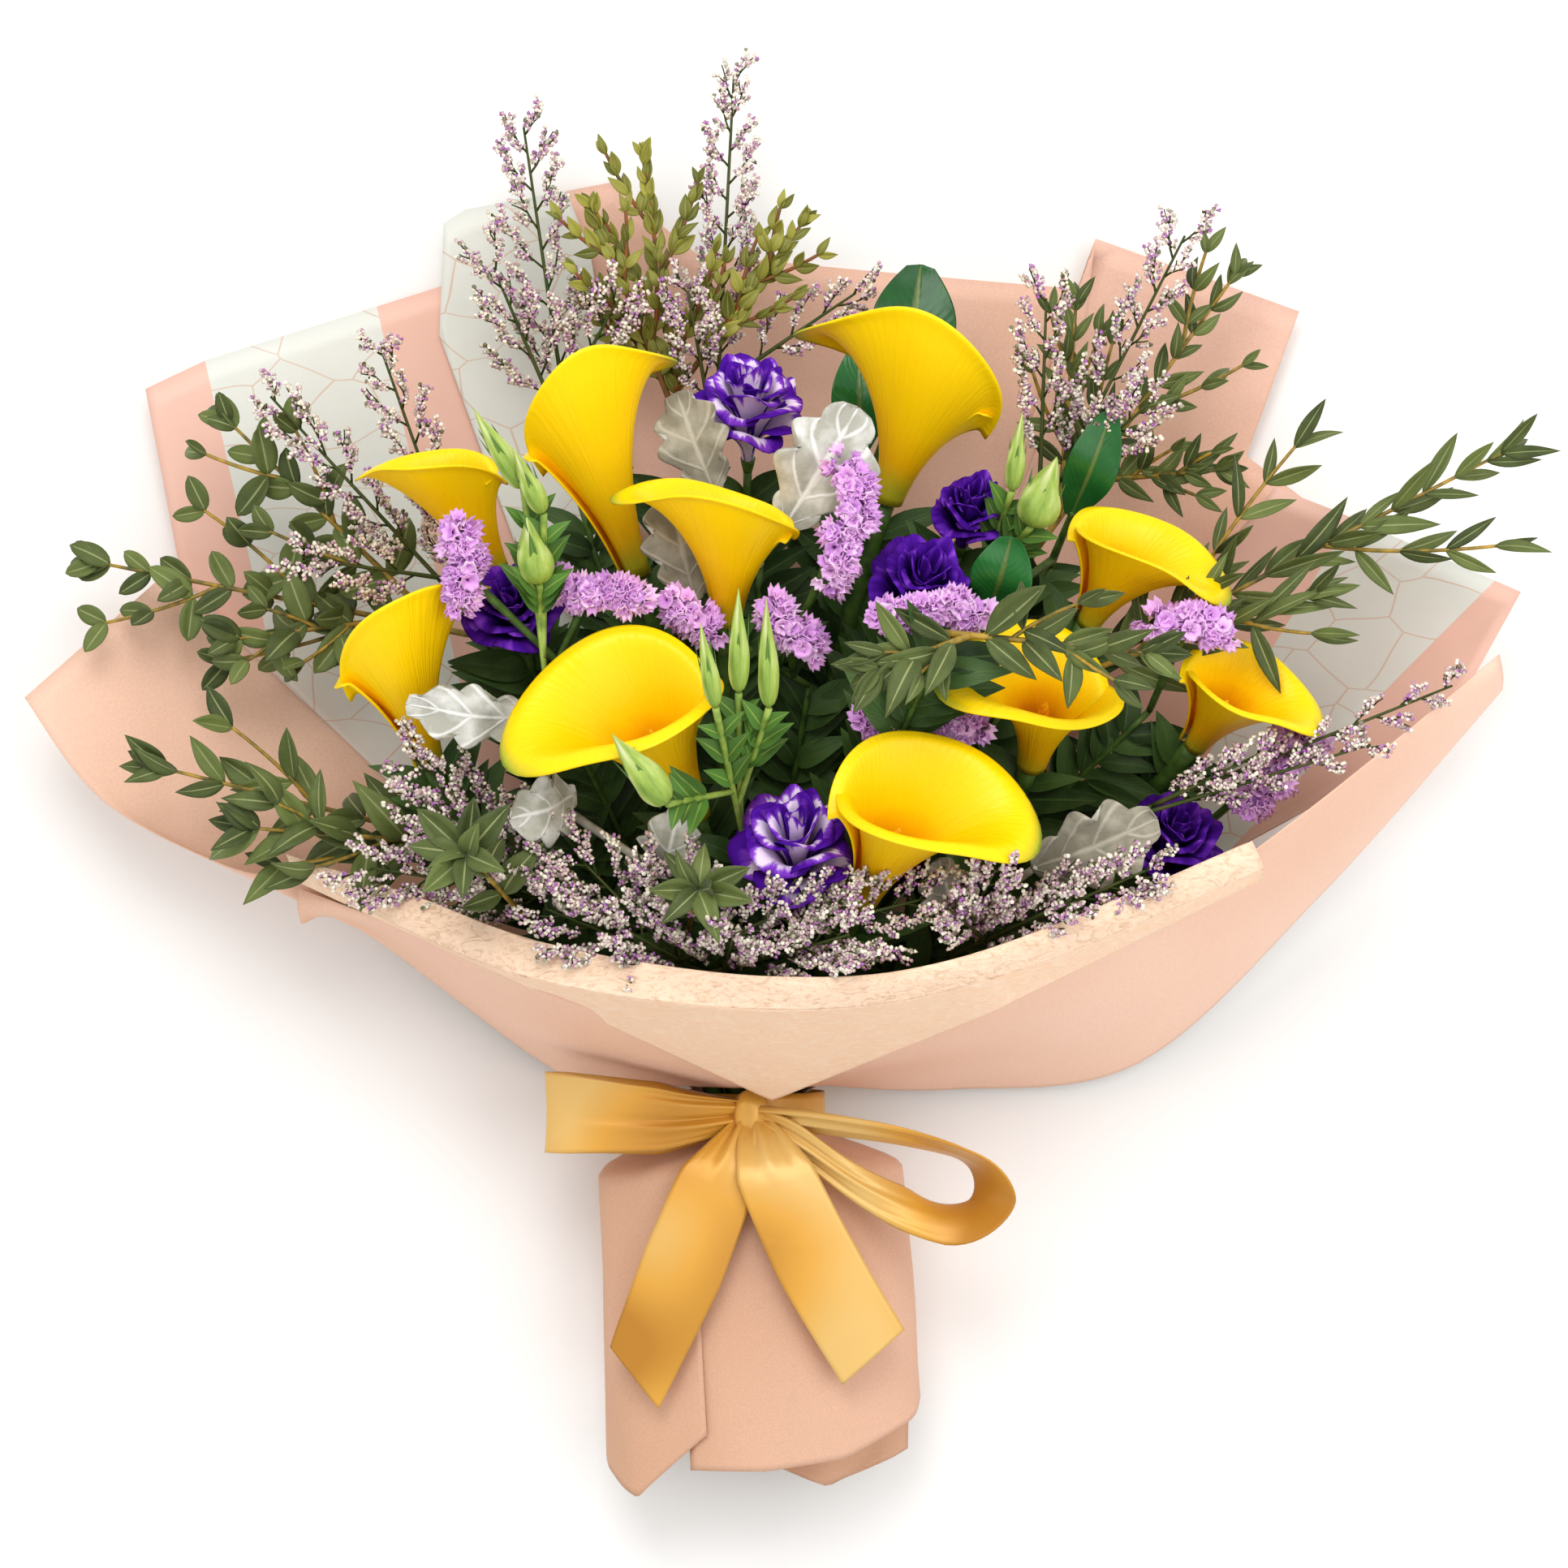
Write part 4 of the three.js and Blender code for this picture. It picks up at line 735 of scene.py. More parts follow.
class BOUQUET_OT_paper(bpy.types.Operator):
    """Lays the wrapping sheets, the tissue inside their rim and the skirt of paper round the stems"""

    bl_idname = "bouquet.paper"
    bl_label = "Wrapping Paper"

    def execute(self, context):
        look, sizes = chosen(context)
        peach = wrapping_paper("coated_paper_peach", look.peach_paper, look.peach_light)
        rose = wrapping_paper("coated_paper_rose", look.rose_paper, look.peach_paper)
        skirt = wrapping_paper("coated_paper_skirt", look.handle_paper, look.handle_light)
        # The lining's darker peach is partly painted shade under the skirt's hem.
        lining = wrapping_paper("crumpled_lining", look.lining, look.handle_paper)
        tissue = {
            "paper_front_band": fibrous_tissue("mulberry_tissue", look.tissue_shade, look),
            "tissue_collar": fibrous_tissue("mulberry_tissue_rim", look.collar_shade, look),
        }
        for node, plan, bm, _ in pieces(BACK_SHEETS):
            lay_back_sheet(bm, plan)
            finish, slot = rose, "peach_paper"
            if node in PRINTED_FIELDS:
                finish, slot = crackle_paper("crackle_" + node, look, PRINTED_FIELDS[node]), "printed_paper"
            finish_piece(bm, node, "sheet", [finish], slot, sizes.paper)
        for node, plan, bm, _ in pieces(FRONT_SHEETS):
            lay_front_sheet(bm, plan, node == "paper_front_band")
            if node == "tissue_collar":  # it folds over outwards, down to the band's rim
                lay_front_sheet(bm, dict(plan, low=FRONT_SHEETS["paper_front_band"]["high"], bulge=2))
            slot = "cream_tissue" if node in tissue else "peach_paper"
            finish_piece(bm, node, "sheet", [tissue.get(node, peach)], slot, sizes.paper)
        for node, plan, bm, _ in pieces(HANDLE_SHEETS):
            lay_handle_sheet(bm, plan)
            if node == "handle_paper_front":
                lay_inner_hem(bm)
            finish_piece(bm, node, "sheet", [skirt, lining], "peach_paper", sizes.paper)
        return {"FINISHED"}


# ---------------- ribbon

BAND_RADIUS, BAND_WIDTH = 30.5, 18
KNOT_HEIGHT, KNOT_LENGTH, KNOT_WIDTH, KNOT_DEPTH = 69, 10, 7.4, 4.6  # of its middle, and half its sizes

# Each length of ribbon: its middle line, the directions its width points, its widths, whether it comes back
# to the knot, and how much further one side of its cut end reaches than the other.
RIBBON_STRIPS = table("line across width loop cut", {
    "left loop, folded back at its outer end": (
        [(-14, -137, 68), (-45, -139, 78), (-80, -137, 80), (-99, -136, 74), (-80, -137, 67), (-45, -139, 66),
         (-16, -137, 66)],
        [(0, 1, 0.3), (0, 1, 0.1), (0, 1, 0), (0, 1, 0), (0, 1, -0.1), (0, 1, -0.2)],
        [9.0, 26.0, 33.0, 34.0, 30.0, 9.0], True, 0),
    "right loop, on edge at its outer end": (
        [(-12, -137, 68), (15, -140, 82), (52, -146, 90), (80, -156, 90), (86, -172, 88), (68, -180, 86),
         (38, -170, 84), (8, -150, 78), (-10, -139, 69)],
        [(0, 1, 1), (0.2, 0.5, 1), (0.2, 0.2, 1), (1, 0, 1), (0.6, -0.8, 0.4), (0.6, -1, 0), (0.4, -1, 0)],
        [9.0, 18.0, 22.0, 26.0, 32.0, 34.0, 9.0], True, 0),
    "left tail": (
        [(-16, -138, 69), (-26, -160, 80), (-42, -200, 80), (-62, -246, 75)],
        [(1, 0.4, 0), (1, -0.4, 0.1), (1, -0.4, 0.2)], [10.0, 32.0, 35.0, 29.0], False, 16),
    "right tail": (
        [(-12, -138, 69), (-4, -160, 84), (14, -198, 86), (37, -237, 80)],
        [(1, 0.1, 0), (1, 0.3, 0), (1, 0.5, -0.1)], [10.0, 32.0, 35.0, 34.0], False, -9),
})


def lay_band(bm):
    def place(u, v):
        angle = 2 * math.pi * v
        out = BAND_RADIUS + 0.45 + 0.35 * math.sin(11 * angle) * math.sin(math.pi * u)
        return WAIST + Vector((out * math.cos(angle), (u - 0.5) * BAND_WIDTH - 3, out * math.sin(angle)))

    bmesh.ops.remove_doubles(bm, verts=lay_surface(bm, 6, 96, place), dist=0.01)


def lay_ribbon(bm, strip):
    row, turns = smooth_row(points(strip["line"]), 8), points(strip["across"])

    def place(u, v):
        across = along(turns, v).normalized()
        lift = heading(row, v).cross(across).normalized()
        gathered = 1 - ease(v, 0.0, 0.42)
        if strip["loop"]:
            gathered += ease(v, 0.6, 1.0)
        pleat = gathered * (1.3 * math.sin(5 * math.pi * u) + 0.8 * math.sin(9 * math.pi * u + 1))
        out = across * ((u - 0.5) * along(strip["width"], v))
        spot = along(row, v) + out + lift * (pleat + 0.8 * math.sin(math.pi * u))
        return spot + heading(row, v) * (strip["cut"] * (u - 0.5) * v ** 3)

    lay_surface(bm, 18, 64, place)


def lay_knot(bm):
    """The ribbon drawn tightly over the middle of the bow, in pleats that run over it."""
    def place(u, v):
        turn, rise = 2 * math.pi * u, math.pi * v
        pleat = 1 + 0.09 * math.sin(6 * turn) * math.sin(rise)
        return Vector((
            WAIST.x + KNOT_WIDTH * pleat * math.sin(rise) * math.cos(turn),
            WAIST.y - 2 - KNOT_LENGTH * math.cos(rise),
            KNOT_HEIGHT + KNOT_DEPTH * pleat * math.sin(rise) * math.sin(turn),
        ))

    close_seams(bm, lay_surface(bm, 36, 16, place))


class BOUQUET_OT_ribbon(bpy.types.Operator):
    """Ties the satin ribbon: one turn round the waist, the bow's loops and tails, and its knot"""

    bl_idname = "bouquet.ribbon"
    bl_label = "Satin Ribbon"

    def execute(self, context):
        look, sizes = chosen(context)
        satin = woven_satin(look)
        bm = empty_mesh()
        lay_band(bm)
        band = finish_piece(bm, "ribbon_band", "satin", [satin], "satin_ribbon", sizes.ribbon)
        bm = empty_mesh()
        for strip in RIBBON_STRIPS.values():
            lay_ribbon(bm, strip)
        lay_knot(bm)
        bow = finish_piece(bm, "ribbon_bow", "satin", [satin], "satin_ribbon", sizes.ribbon)
        return {"FINISHED"}


# ---------------- arum lilies

THROAT = 5.2  # radius of a lily's tube where it meets the stem
SPADIX_RADIUS, SPADIX_SHARE = 3.6, 0.6  # its radius, and the share of the spathe's length that it reaches

# Each lily: where its tube meets the stem, the middle of its mouth, its pointed tip, the mouth's radius, how
# far its upper wall hoods the mouth, how narrow the mouth is from the upper wall to the lower one, and the
# spathe's length in steps from the stem to the mouth.
LILIES = table("base mouth tip radius hood squash stretch", {
    "lily_front": ((31, -49, 154), (54, -2, 198), (100, -2, 206), 37, -0.05, 1.0, 1.12),
    "lily_centre_left": ((-36, -13, 142), (-60, 34, 182), (-106, 10, 186), 40, -0.12, 1.0, 1.25),
    "lily_centre": ((-24, 66, 138), (-22, 108, 168), (-60, 120, 172), 33, 0.42, 0.8, 1.3),
    "lily_tall_left": ((-60, 86, 104), (-82, 146, 130), (-54, 178, 136), 31, 0.65, 0.7, 1.34),
    "lily_upper_left": ((-120, 88, 100), (-136, 122, 126), (-158, 130, 128), 25, 0.6, 1.0, 1.45),
    "lily_left": ((-144, 8, 116), (-158, 56, 142), (-138, 90, 148), 32, 0.65, 0.75, 1.3),
    "lily_upper_right": ((42, 117, 90), (60, 172, 114), (12, 196, 116), 39, 0.7, 0.75, 1.14),
    "lily_right_back": ((124, 66, 108), (143, 98, 138), (180, 84, 142), 31, 0.3, 1.0, 1.2),
    "lily_right": ((100, 8, 128), (108, 44, 166), (72, 36, 172), 34, 0.05, 1.0, 1.16),
    "lily_far_right": ((168, 16, 106), (186, 42, 138), (211, 34, 140), 27, 0.2, 1.0, 1.16),
})


def spathe_point(u, v, plan, length, near, ripple):
    """The rolled spathe, +Z up its tube and +X towards its tip.

    u runs from one free edge round the back to the other, and v from the stem to the rim. Near is the sign of
    the side that looks up.
    """
    mouth, side = plan["radius"], 2 * u - 1
    back = 1 - side * side
    tip = math.exp(-((side / 0.17) ** 2))
    flare = v ** 1.9
    radius = mix(THROAT + 3.5 * v, mouth * (0.8 + 0.16 * back + 0.5 * tip), flare) + side * 1.5
    lip = ease(v, 0.84, 1.0)
    drop = tip * mouth * 0.35 * v ** 6 + mouth * 0.10 * lip * lip * (1 - 0.6 * tip)
    angle = side * math.pi * 1.1
    wave = 0.04 * mouth * v ** 4 * math.sin(3 * angle + ripple)
    hood = plan["hood"] * mouth * near * math.sin(angle) * v ** 3
    return Vector((
        radius * math.cos(angle),
        radius * math.sin(angle) * mix(1, plan["squash"], flare),
        length * (0.66 + 0.34 * back) * (1 - (1 - v) ** 1.35) - drop + wave + hood,
    ))


def lay_lily(bm, plan, ripple):
    root, mouth, tip = points([plan["base"], plan["mouth"], plan["tip"]])
    axis = mouth - root
    length = axis.length * plan["stretch"]
    stand = aimed(root, axis, tip - mouth)
    near = math.copysign(1, stand.col[1].z)
    lay_surface(bm, 80, 40, lambda u, v: stand @ spathe_point(u, v ** 0.85, plan, length, near, ripple))
    reach = SPADIX_SHARE * length

    def club(u, v):
        radius = SPADIX_RADIUS * math.sin(math.pi * (0.25 + 0.75 * v)) ** 0.7 if 0 < v < 0.999 else 0.0
        return stand @ round_point(2 * math.pi * u, radius, reach * v)

    close_seams(bm, lay_surface(bm, 20, 24, club, finish=2))


class BOUQUET_OT_lilies(bpy.types.Operator):
    """Opens the ten arum lilies, each a rolled spathe round its spadix"""

    bl_idname = "bouquet.lilies"
    bl_label = "Arum Lilies"

    def execute(self, context):
        look, sizes = chosen(context)
        outside = arum_petal("arum_spathe_outer", look, 0.42, [
            (0.0, look.arum_stem), (0.16, look.arum_shade), (0.42, look.arum_yellow), (1.0, look.arum_bright),
        ])
        inside = arum_petal("arum_spathe_inner", look, 0.38, [
            (0.0, look.arum_throat), (0.24, look.arum_throat), (0.48, look.arum_yellow),
            (1.0, look.arum_bright),
        ])
        finishes = [outside, inside, arum_spadix(look)]
        for i, (node, plan, bm, _) in enumerate(pieces(LILIES)):
            lay_lily(bm, plan, 1.7 * i)
            finish_piece(bm, node, "bloom", finishes, "lily_yellow", sizes.spathe, 1)
        return {"FINISHED"}


# ---------------- lisianthus

# Each bloom: where it meets its stem, the middle of its face, its radius, and whether it is streaked.
LISIANTHUS = table("base face radius streaked", {
    "lisianthus_top": ((-15, 132, 78), (-14, 172, 112), 23, True),
    "lisianthus_upper_right": ((72, 96, 108), (78, 122, 142), 15, False),
    "lisianthus_centre_right": ((48, 62, 132), (60, 92, 172), 20, False),
    "lisianthus_left": ((-106, 56, 112), (-112, 80, 148), 18, False),
    "lisianthus_front": ((6, -44, 140), (4, -10, 186), 23, True),
    "lisianthus_right": ((150, -38, 96), (164, -12, 132), 20, False),
})

# Rings of petals from the outside in: how many, and the shares of the bloom's radius and depth they reach.
PETAL_RINGS = [(5, 1.08, 0.66), (4, 0.9, 0.84), (4, 0.66, 0.96), (3, 0.42, 1.0), (2, 0.2, 1.0)]


def lay_bloom(bm, plan, rng):
    root, face = points([plan["base"], plan["face"]])
    axis = face - root
    depth = axis.length
    stand = aimed(root, axis, UP)
    for ring, (count, rim_share, height_share) in enumerate(PETAL_RINGS):
        for i in range(count):
            facing = 2 * math.pi * (i + 0.5 * ring) / count + rng.uniform(-0.25, 0.25)
            spread = math.pi / count * rng.uniform(1.5, 1.8)
            size, phase = rng.uniform(0.9, 1.08), rng.uniform(0, 6)

            def place(u, v):
                side = 2 * u - 1
                v *= 1 - 0.16 * side ** 4
                frill = 0.025 * v ** 4 * math.sin(10 * side + 2 * phase)
                rim = 1 + 0.1 * v * v * math.sin(3.6 * side + phase) + frill
                radius = mix(2.0, plan["radius"] * rim_share * size, v ** 1.3) * rim
                curl = (0.2 - 0.03 * ring) * ease(v, 0.6, 1.1) ** 2
                height = depth * height_share * (v ** 0.6 * (1 - 0.1 * side * side * v) - curl)
                height += depth * v * v * (0.07 * math.cos(3.6 * side + phase) + frill)
                return stand @ round_point(facing + side * spread * (0.3 + 0.7 * v ** 0.5), radius, height)

            lay_surface(bm, 18, 14, place)
    green = [root + axis.normalized() * step for step in (-3, 0, 3.5)]
    lay_tube(bm, green, lambda s: mix(1.8, 3.0, s), 10, 4, finish=1)


class BOUQUET_OT_lisianthus(bpy.types.Operator):
    """Opens the six purple lisianthus, each of frilled petals in five rings"""

    bl_idname = "bouquet.lisianthus"
    bl_label = "Lisianthus"

    def execute(self, context):
        look, sizes = chosen(context)
        plain = velvet_petal("lisianthus_petal_plain", [
            (0.35, look.lisianthus_deep), (0.55, look.lisianthus_purple), (0.8, look.lisianthus_violet),
        ], 0.08)
        variegated = velvet_petal("lisianthus_petal_streaked", [
            (0.74, look.lisianthus_pale), (0.82, look.lisianthus_violet), (0.98, look.lisianthus_purple),
        ], 0.42)
        calyx = green_stem("lisianthus_calyx", look.stem_green, look.stem_shade)
        for node, plan, bm, rng in pieces(LISIANTHUS, sizes.seed):
            lay_bloom(bm, plan, rng)
            petal = variegated if plan["streaked"] else plain
            finish_piece(bm, node, "bloom", [petal, calyx], "lisianthus_purple", sizes.petal)
        return {"FINISHED"}


# ---------------- statice

TUFT_GAP, TUFT_FLORETS = 7, 22  # from one tuft to the next along a crest, and the florets in each

# Each head: its root, half the width of its crests, and the rows of points that the crests follow.
STATICE = table("root half crests", {
    "statice_left": ((-86, 44, 136), 8, [[(-131, 72, 160), (-130, 102, 166)],
                                         [(-98, 80, 150), (-58, 76, 158)]]),
    "statice_centre": ((10, 40, 118), 9, [[(-44, 72, 152), (-30, 66, 150)], [(-4, 72, 160), (8, 54, 158)],
                                          [(16, 84, 164), (26, 106, 166), (26, 128, 160)]]),
    "statice_right": ((60, 34, 120), 8, [[(40, 66, 180), (78, 68, 176)], [(34, 24, 154), (76, 22, 152)]]),
    "statice_right_back": ((150, 30, 100), 8, [[(150, 66, 150), (176, 64, 146)]]),
    "statice_far_right": ((160, -30, 80), 10, [[(186, -6, 120), (200, 8, 124), (212, 20, 120)]]),
})


def frilled_floret(radius, rng):
    """A papery funnel with a frilled rim, its foot at the origin and its mouth up +Z."""
    bm = empty_mesh()
    rim = bmesh.ops.create_circle(bm, segments=14, radius=0.4, cap_ends=False, calc_uvs=True)["verts"]
    for size, lift in ((1.1, 2.4), (radius * 0.72, 1.6), (radius, 0.5)):
        edges = [edge for edge in bm.edges if all(vert in rim for vert in edge.verts)]
        grown = bmesh.ops.extrude_edge_only(bm, edges=edges)["geom"]
        rim = [item for item in grown if isinstance(item, bmesh.types.BMVert)]
        for i, vert in enumerate(rim):
            flat = Vector((vert.co.x, vert.co.y, 0)).normalized() * size * rng.uniform(0.84, 1.16)
            frill = 0.75 * math.cos(math.pi * i) * (size / radius) ** 2 + rng.uniform(-0.3, 0.3)
            vert.co = Vector((flat.x, flat.y, vert.co.z + lift + (frill if size > 2 else 0)))
    return template_from(bm, "statice_floret")


def lay_statice(bm, plan, florets, rng):
    half = plan["half"]
    for row in forks(plan["root"], [along(points(crest), 0.5) for crest in plan["crests"]], 0):
        lay_tube(bm, row, lambda s: mix(1.3, 1.8, s), 6, 10, finish=1)
    for crest in plan["crests"]:
        row = smooth_row(points(crest), 8)
        lay_tube(bm, row, lambda s: half * 0.3, 6, 6, finish=1)
        tufts = max(3, round(length_of(row) / TUFT_GAP))
        for i in range(tufts):
            middle, ahead, level = place_on(row, (i + 0.5) / tufts)
            middle += level * rng.uniform(-0.35, 0.35) * half
            lean = rng.uniform(-0.6, 0.6)
            for _ in range(TUFT_FLORETS):
                aside, rise = level * (rng.uniform(-1.1, 1.1) + lean), UP * rng.uniform(0.3, 1.1)
                out = (aside + rise + ahead * rng.uniform(-0.7, 0.7)).normalized()
                spot = middle + ahead * rng.uniform(-4, 4) + out * half * rng.uniform(0.15, 0.55)
                turn = aimed(spot, out, Vector((rng.uniform(-1, 1), rng.uniform(-1, 1), 0.1)))
                set_down(bm, rng.choice(florets), turn @ Matrix.Scale(rng.uniform(0.85, 1.25), 4))


class BOUQUET_OT_statice(bpy.types.Operator):
    """Sets the lilac statice heads: crests of papery florets on green stalks"""

    bl_idname = "bouquet.statice"
    bl_label = "Statice"

    def execute(self, context):
        look, sizes = chosen(context)
        tones = [look.statice_deep, look.statice_lilac, look.statice_pale]
        papery = papery_floret("statice_papery_calyx", tones)
        stalk = green_stem("statice_stalk", look.stem_green, look.stem_shade)
        rng = random.Random(sizes.seed)
        florets = [frilled_floret(sizes.statice_floret / MM, rng) for _ in range(4)]
        for node, plan, bm, _ in pieces(STATICE):
            lay_statice(bm, plan, florets, rng)
            finish_piece(bm, node, "head", [papery, stalk], "statice_lilac", 0.25 * MM)
        return {"FINISHED"}


# ---------------- sea lavender

SPIKE, SPIKE_GAP = 6, 2.7  # length of a spike of florets before it is stretched, and from one to the next
PURPLE_SHARE = 0.24  # of the florets, whose corolla is open

# Each spray: the root where it leaves the stem, the reach of its side twigs, the gap from one to the next,
# and the tip of each of its main branches.
SEA_LAVENDERS = table("root size gap tips", {
    "sea_lavender_top_left": ((-86, 120, 40), 30, 11, [(-109, 275, 44), (-121, 215, 60), (-70, 200, 62)]),
    "sea_lavender_top": ((-30, 120, 40), 24, 10, [(-21, 297, 42), (-40, 205, 62), (30, 205, 52)]),
    "sea_lavender_left": ((-120, 50, 80), 24, 11, [(-167, 180, 72), (-212, 160, 84), (-196, 92, 110)]),
    "sea_lavender_front_left": (
        (-70, -50, 90), 36, 8,
        [(-168, -34, 130), (-150, 10, 142), (-94, -44, 160), (-140, -16, 142), (-120, -40, 150),
         (-104, -18, 152)]),
    "sea_lavender_front": (
        (-20, -84, 110), 38, 8,
        [(-64, -58, 176), (-20, -60, 190), (26, -60, 188), (-96, -50, 160), (56, -46, 174), (-44, -40, 172),
         (2, -50, 178), (-80, -32, 164)]),
    "sea_lavender_front_right": (
        (60, -74, 110), 26, 8, [(114, -46, 190), (84, -34, 194), (146, -34, 176), (66, -50, 184)]),
    "sea_lavender_right": ((106, -26, 140), 14, 14, [(272, 40, 126), (238, 16, 134), (192, 12, 146)]),
    "sea_lavender_upper_right": ((96, 90, 76), 28, 11, [(166, 227, 76), (108, 200, 92), (150, 156, 118)]),
})


def floret_spike(radius, rng):
    """A thin twig up +Z, with a double rank of florets on its +X side."""
    bm = empty_mesh()
    row = bent_row(points([(0, 0, 0), (0.7, 0, SPIKE / 2), (0, 0, SPIKE)]), 4)
    lay_tube(bm, row, lambda s: mix(0.5, 0.3, s), 3, 3, finish=2)
    for i in range(5):
        for rank in (-1, 1):
            purple = rng.random() < PURPLE_SHARE
            out = Vector((1, rank * rng.uniform(0.1, 0.9), rng.uniform(0.2, 1.1))).normalized()
            spot = along(row, (i + rng.uniform(0.2, 0.8)) / 5) + out * rng.uniform(0.1, 0.8)
            size = radius * rng.uniform(0.7, 1.1) * (0.85 if purple else 1.0)
            made = bmesh.ops.create_cone(
                bm, cap_ends=True, cap_tris=True, segments=5, radius1=0.0, radius2=size, depth=2.0,
                matrix=aimed(spot + out, out, UP), calc_uvs=True)
            paint_faces(made["verts"], 1 if purple else 0)
    return template_from(bm, "sea_lavender_spike")


def set_spike(bm, spikes, foot, ahead, length, rng):
    facing = UP + Vector([rng.uniform(-0.8, 0.8) for _ in range(3)])
    size = Matrix.Diagonal((1, 1, length / SPIKE, 1))
    set_down(bm, rng.choice(spikes), aimed(foot, ahead, facing) @ size)


def lay_spray(bm, spikes, row, size, gap, rng):
    """One main branch with side twigs, each of which carries spikes of florets along its outer side."""
    lay_tube(bm, row, lambda s: mix(1.1, 0.5, s), 6, 12, finish=2)
    twigs = max(7, round(length_of(row) / gap))
    for i in range(twigs):
        share = mix(0.3, 0.98, i / (twigs - 1))
        start, ahead, level = place_on(row, share)
        outer = level * (1 if i % 2 else -1)
        out = (ahead + outer * rng.uniform(0.5, 1.3) + UP * rng.uniform(-0.2, 0.6)).normalized()
        reach = size * mix(1.2, 0.4, share) * rng.uniform(0.6, 1.15)
        tip = start + out * reach * 0.75 + ahead * reach * 0.4
        twig = bent_row([start, start + out * reach * 0.5, tip], 6)
        lay_tube(bm, twig, lambda s: mix(0.65, 0.4, s), 3, 3, finish=2)
        count = max(3, round(reach / SPIKE_GAP))
        for j in range(count):
            place = mix(0.25, 0.98, j / (count - 1))
            side = outer * (-0.5 if rng.random() < 0.3 else 1) * rng.uniform(0.4, 1.1)
            fan = heading(twig, place) + side + UP * rng.uniform(-0.2, 0.7)
            set_spike(bm, spikes, along(twig, place), fan, rng.uniform(4, 7.5), rng)
        set_spike(bm, spikes, twig[-1], heading(twig, 1), rng.uniform(5, 8), rng)


class BOUQUET_OT_sea_lavender(bpy.types.Operator):
    """Spreads the sea lavender: sprays of fine twigs with thousands of tiny florets"""

    bl_idname = "bouquet.sea_lavender"
    bl_label = "Sea Lavender"

    def execute(self, context):
        look, sizes = chosen(context)
        calyx = papery_floret("sea_lavender_calyx", [
            look.twig_green, look.lavender_white, look.lavender_white, look.lavender_pink,
        ])
        corolla = papery_floret("sea_lavender_corolla", [look.lavender_purple, look.lavender_pink])
        twig = green_stem("sea_lavender_twig", look.twig_green, look.stem_shade, 0.7)
        make = random.Random(sizes.seed)
        spikes = [floret_spike(sizes.lavender_floret / MM, make) for _ in range(6)]
        for node, plan, bm, rng in pieces(SEA_LAVENDERS, sizes.seed):
            for row in forks(plan["root"], plan["tips"], 10):
                lay_spray(bm, spikes, row, plan["size"], plan["gap"], rng)
            finish_piece(bm, node, "spray", [calyx, corolla, twig], "sea_lavender")
        return {"FINISHED"}


# ---------------- leafy stems

# Each stem: its root, its branches' tips, the spacing of its leaf pairs, a leaf's length and width, the share
# of a branch where its leaves begin, how many side twigs a branch has, and how far its leaves turn aside.
LEAFY_STEMS = table("root tips spacing leaf start twigs angle", {
    "eucalyptus_left": (
        (-120, 60, 70), [(-285, 92, 62), (-230, 150, 70), (-226, 60, 84)], 15, (24, 12), 0.25, 3, 58),
    "eucalyptus_lower_left": (
        (-110, -30, 90), [(-252, 6, 112), (-216, -18, 126)], 18, (34, 12.5), 0.3, 2, 52),
    "eucalyptus_front_left": ((-100, -60, 120), [(-126, -28, 196)], 16, (29, 12), 0.5, 0, 70),
    "eucalyptus_front": ((-40, -64, 130), [(-34, -42, 196)], 18, (25, 10), 0.5, 0, 70),
    "eucalyptus_middle_right": ((64, 60, 196), [(142, 52, 216), (38, 46, 210)], 12, (30, 10), 0.2, 2, 45),
    "eucalyptus_right": ((90, 30, 100), [(295, 136, 92), (212, 76, 136)], 14, (37, 8), 0.2, 2, 38),
    "eucalyptus_upper_right": (
        (104, 96, 50), [(188, 212, 50), (122, 200, 50), (180, 130, 76)], 12, (22, 7), 0.25, 3, 42),
    "boxwood_top": (
        (-40, 130, 40), [(-59, 262, 52), (-80, 240, 60), (8, 234, 60)], 7, (14, 5.5), 0.25, 5, 32),
})


def lance_leaf(fold, droop, fullness, blunt=0.95, finish=0):
    """A leaf one unit long and one wide along +Y, creased along its midrib and drooping to its tip.

    The crease and the droop are shares of its width.
    """
    bm = empty_mesh()

    def place(u, v):
        across = (u - 0.5) * (math.sin(math.pi * v ** fullness) ** blunt if 0 < v < 1 else 0.0)
        return Vector((across, v, fold * abs(across) + droop * (0.25 - (v - 0.5) ** 2) - droop * 0.6 * v * v))

    bmesh.ops.remove_doubles(bm, verts=lay_surface(bm, 4, 9, place, finish), dist=0.001)
    return template_from(bm, "lance_leaf")


def set_leaf(bm, leaf, foot, ahead, face, length, width):
    """A leaf from its foot, running ahead, its upper side towards face."""
    y = ahead.normalized()
    z = (face - y * face.dot(y)).normalized()
    turn = Matrix((y.cross(z) * width, y * length, z * width)).transposed().to_4x4()
    set_down(bm, leaf, Matrix.Translation(foot) @ turn)


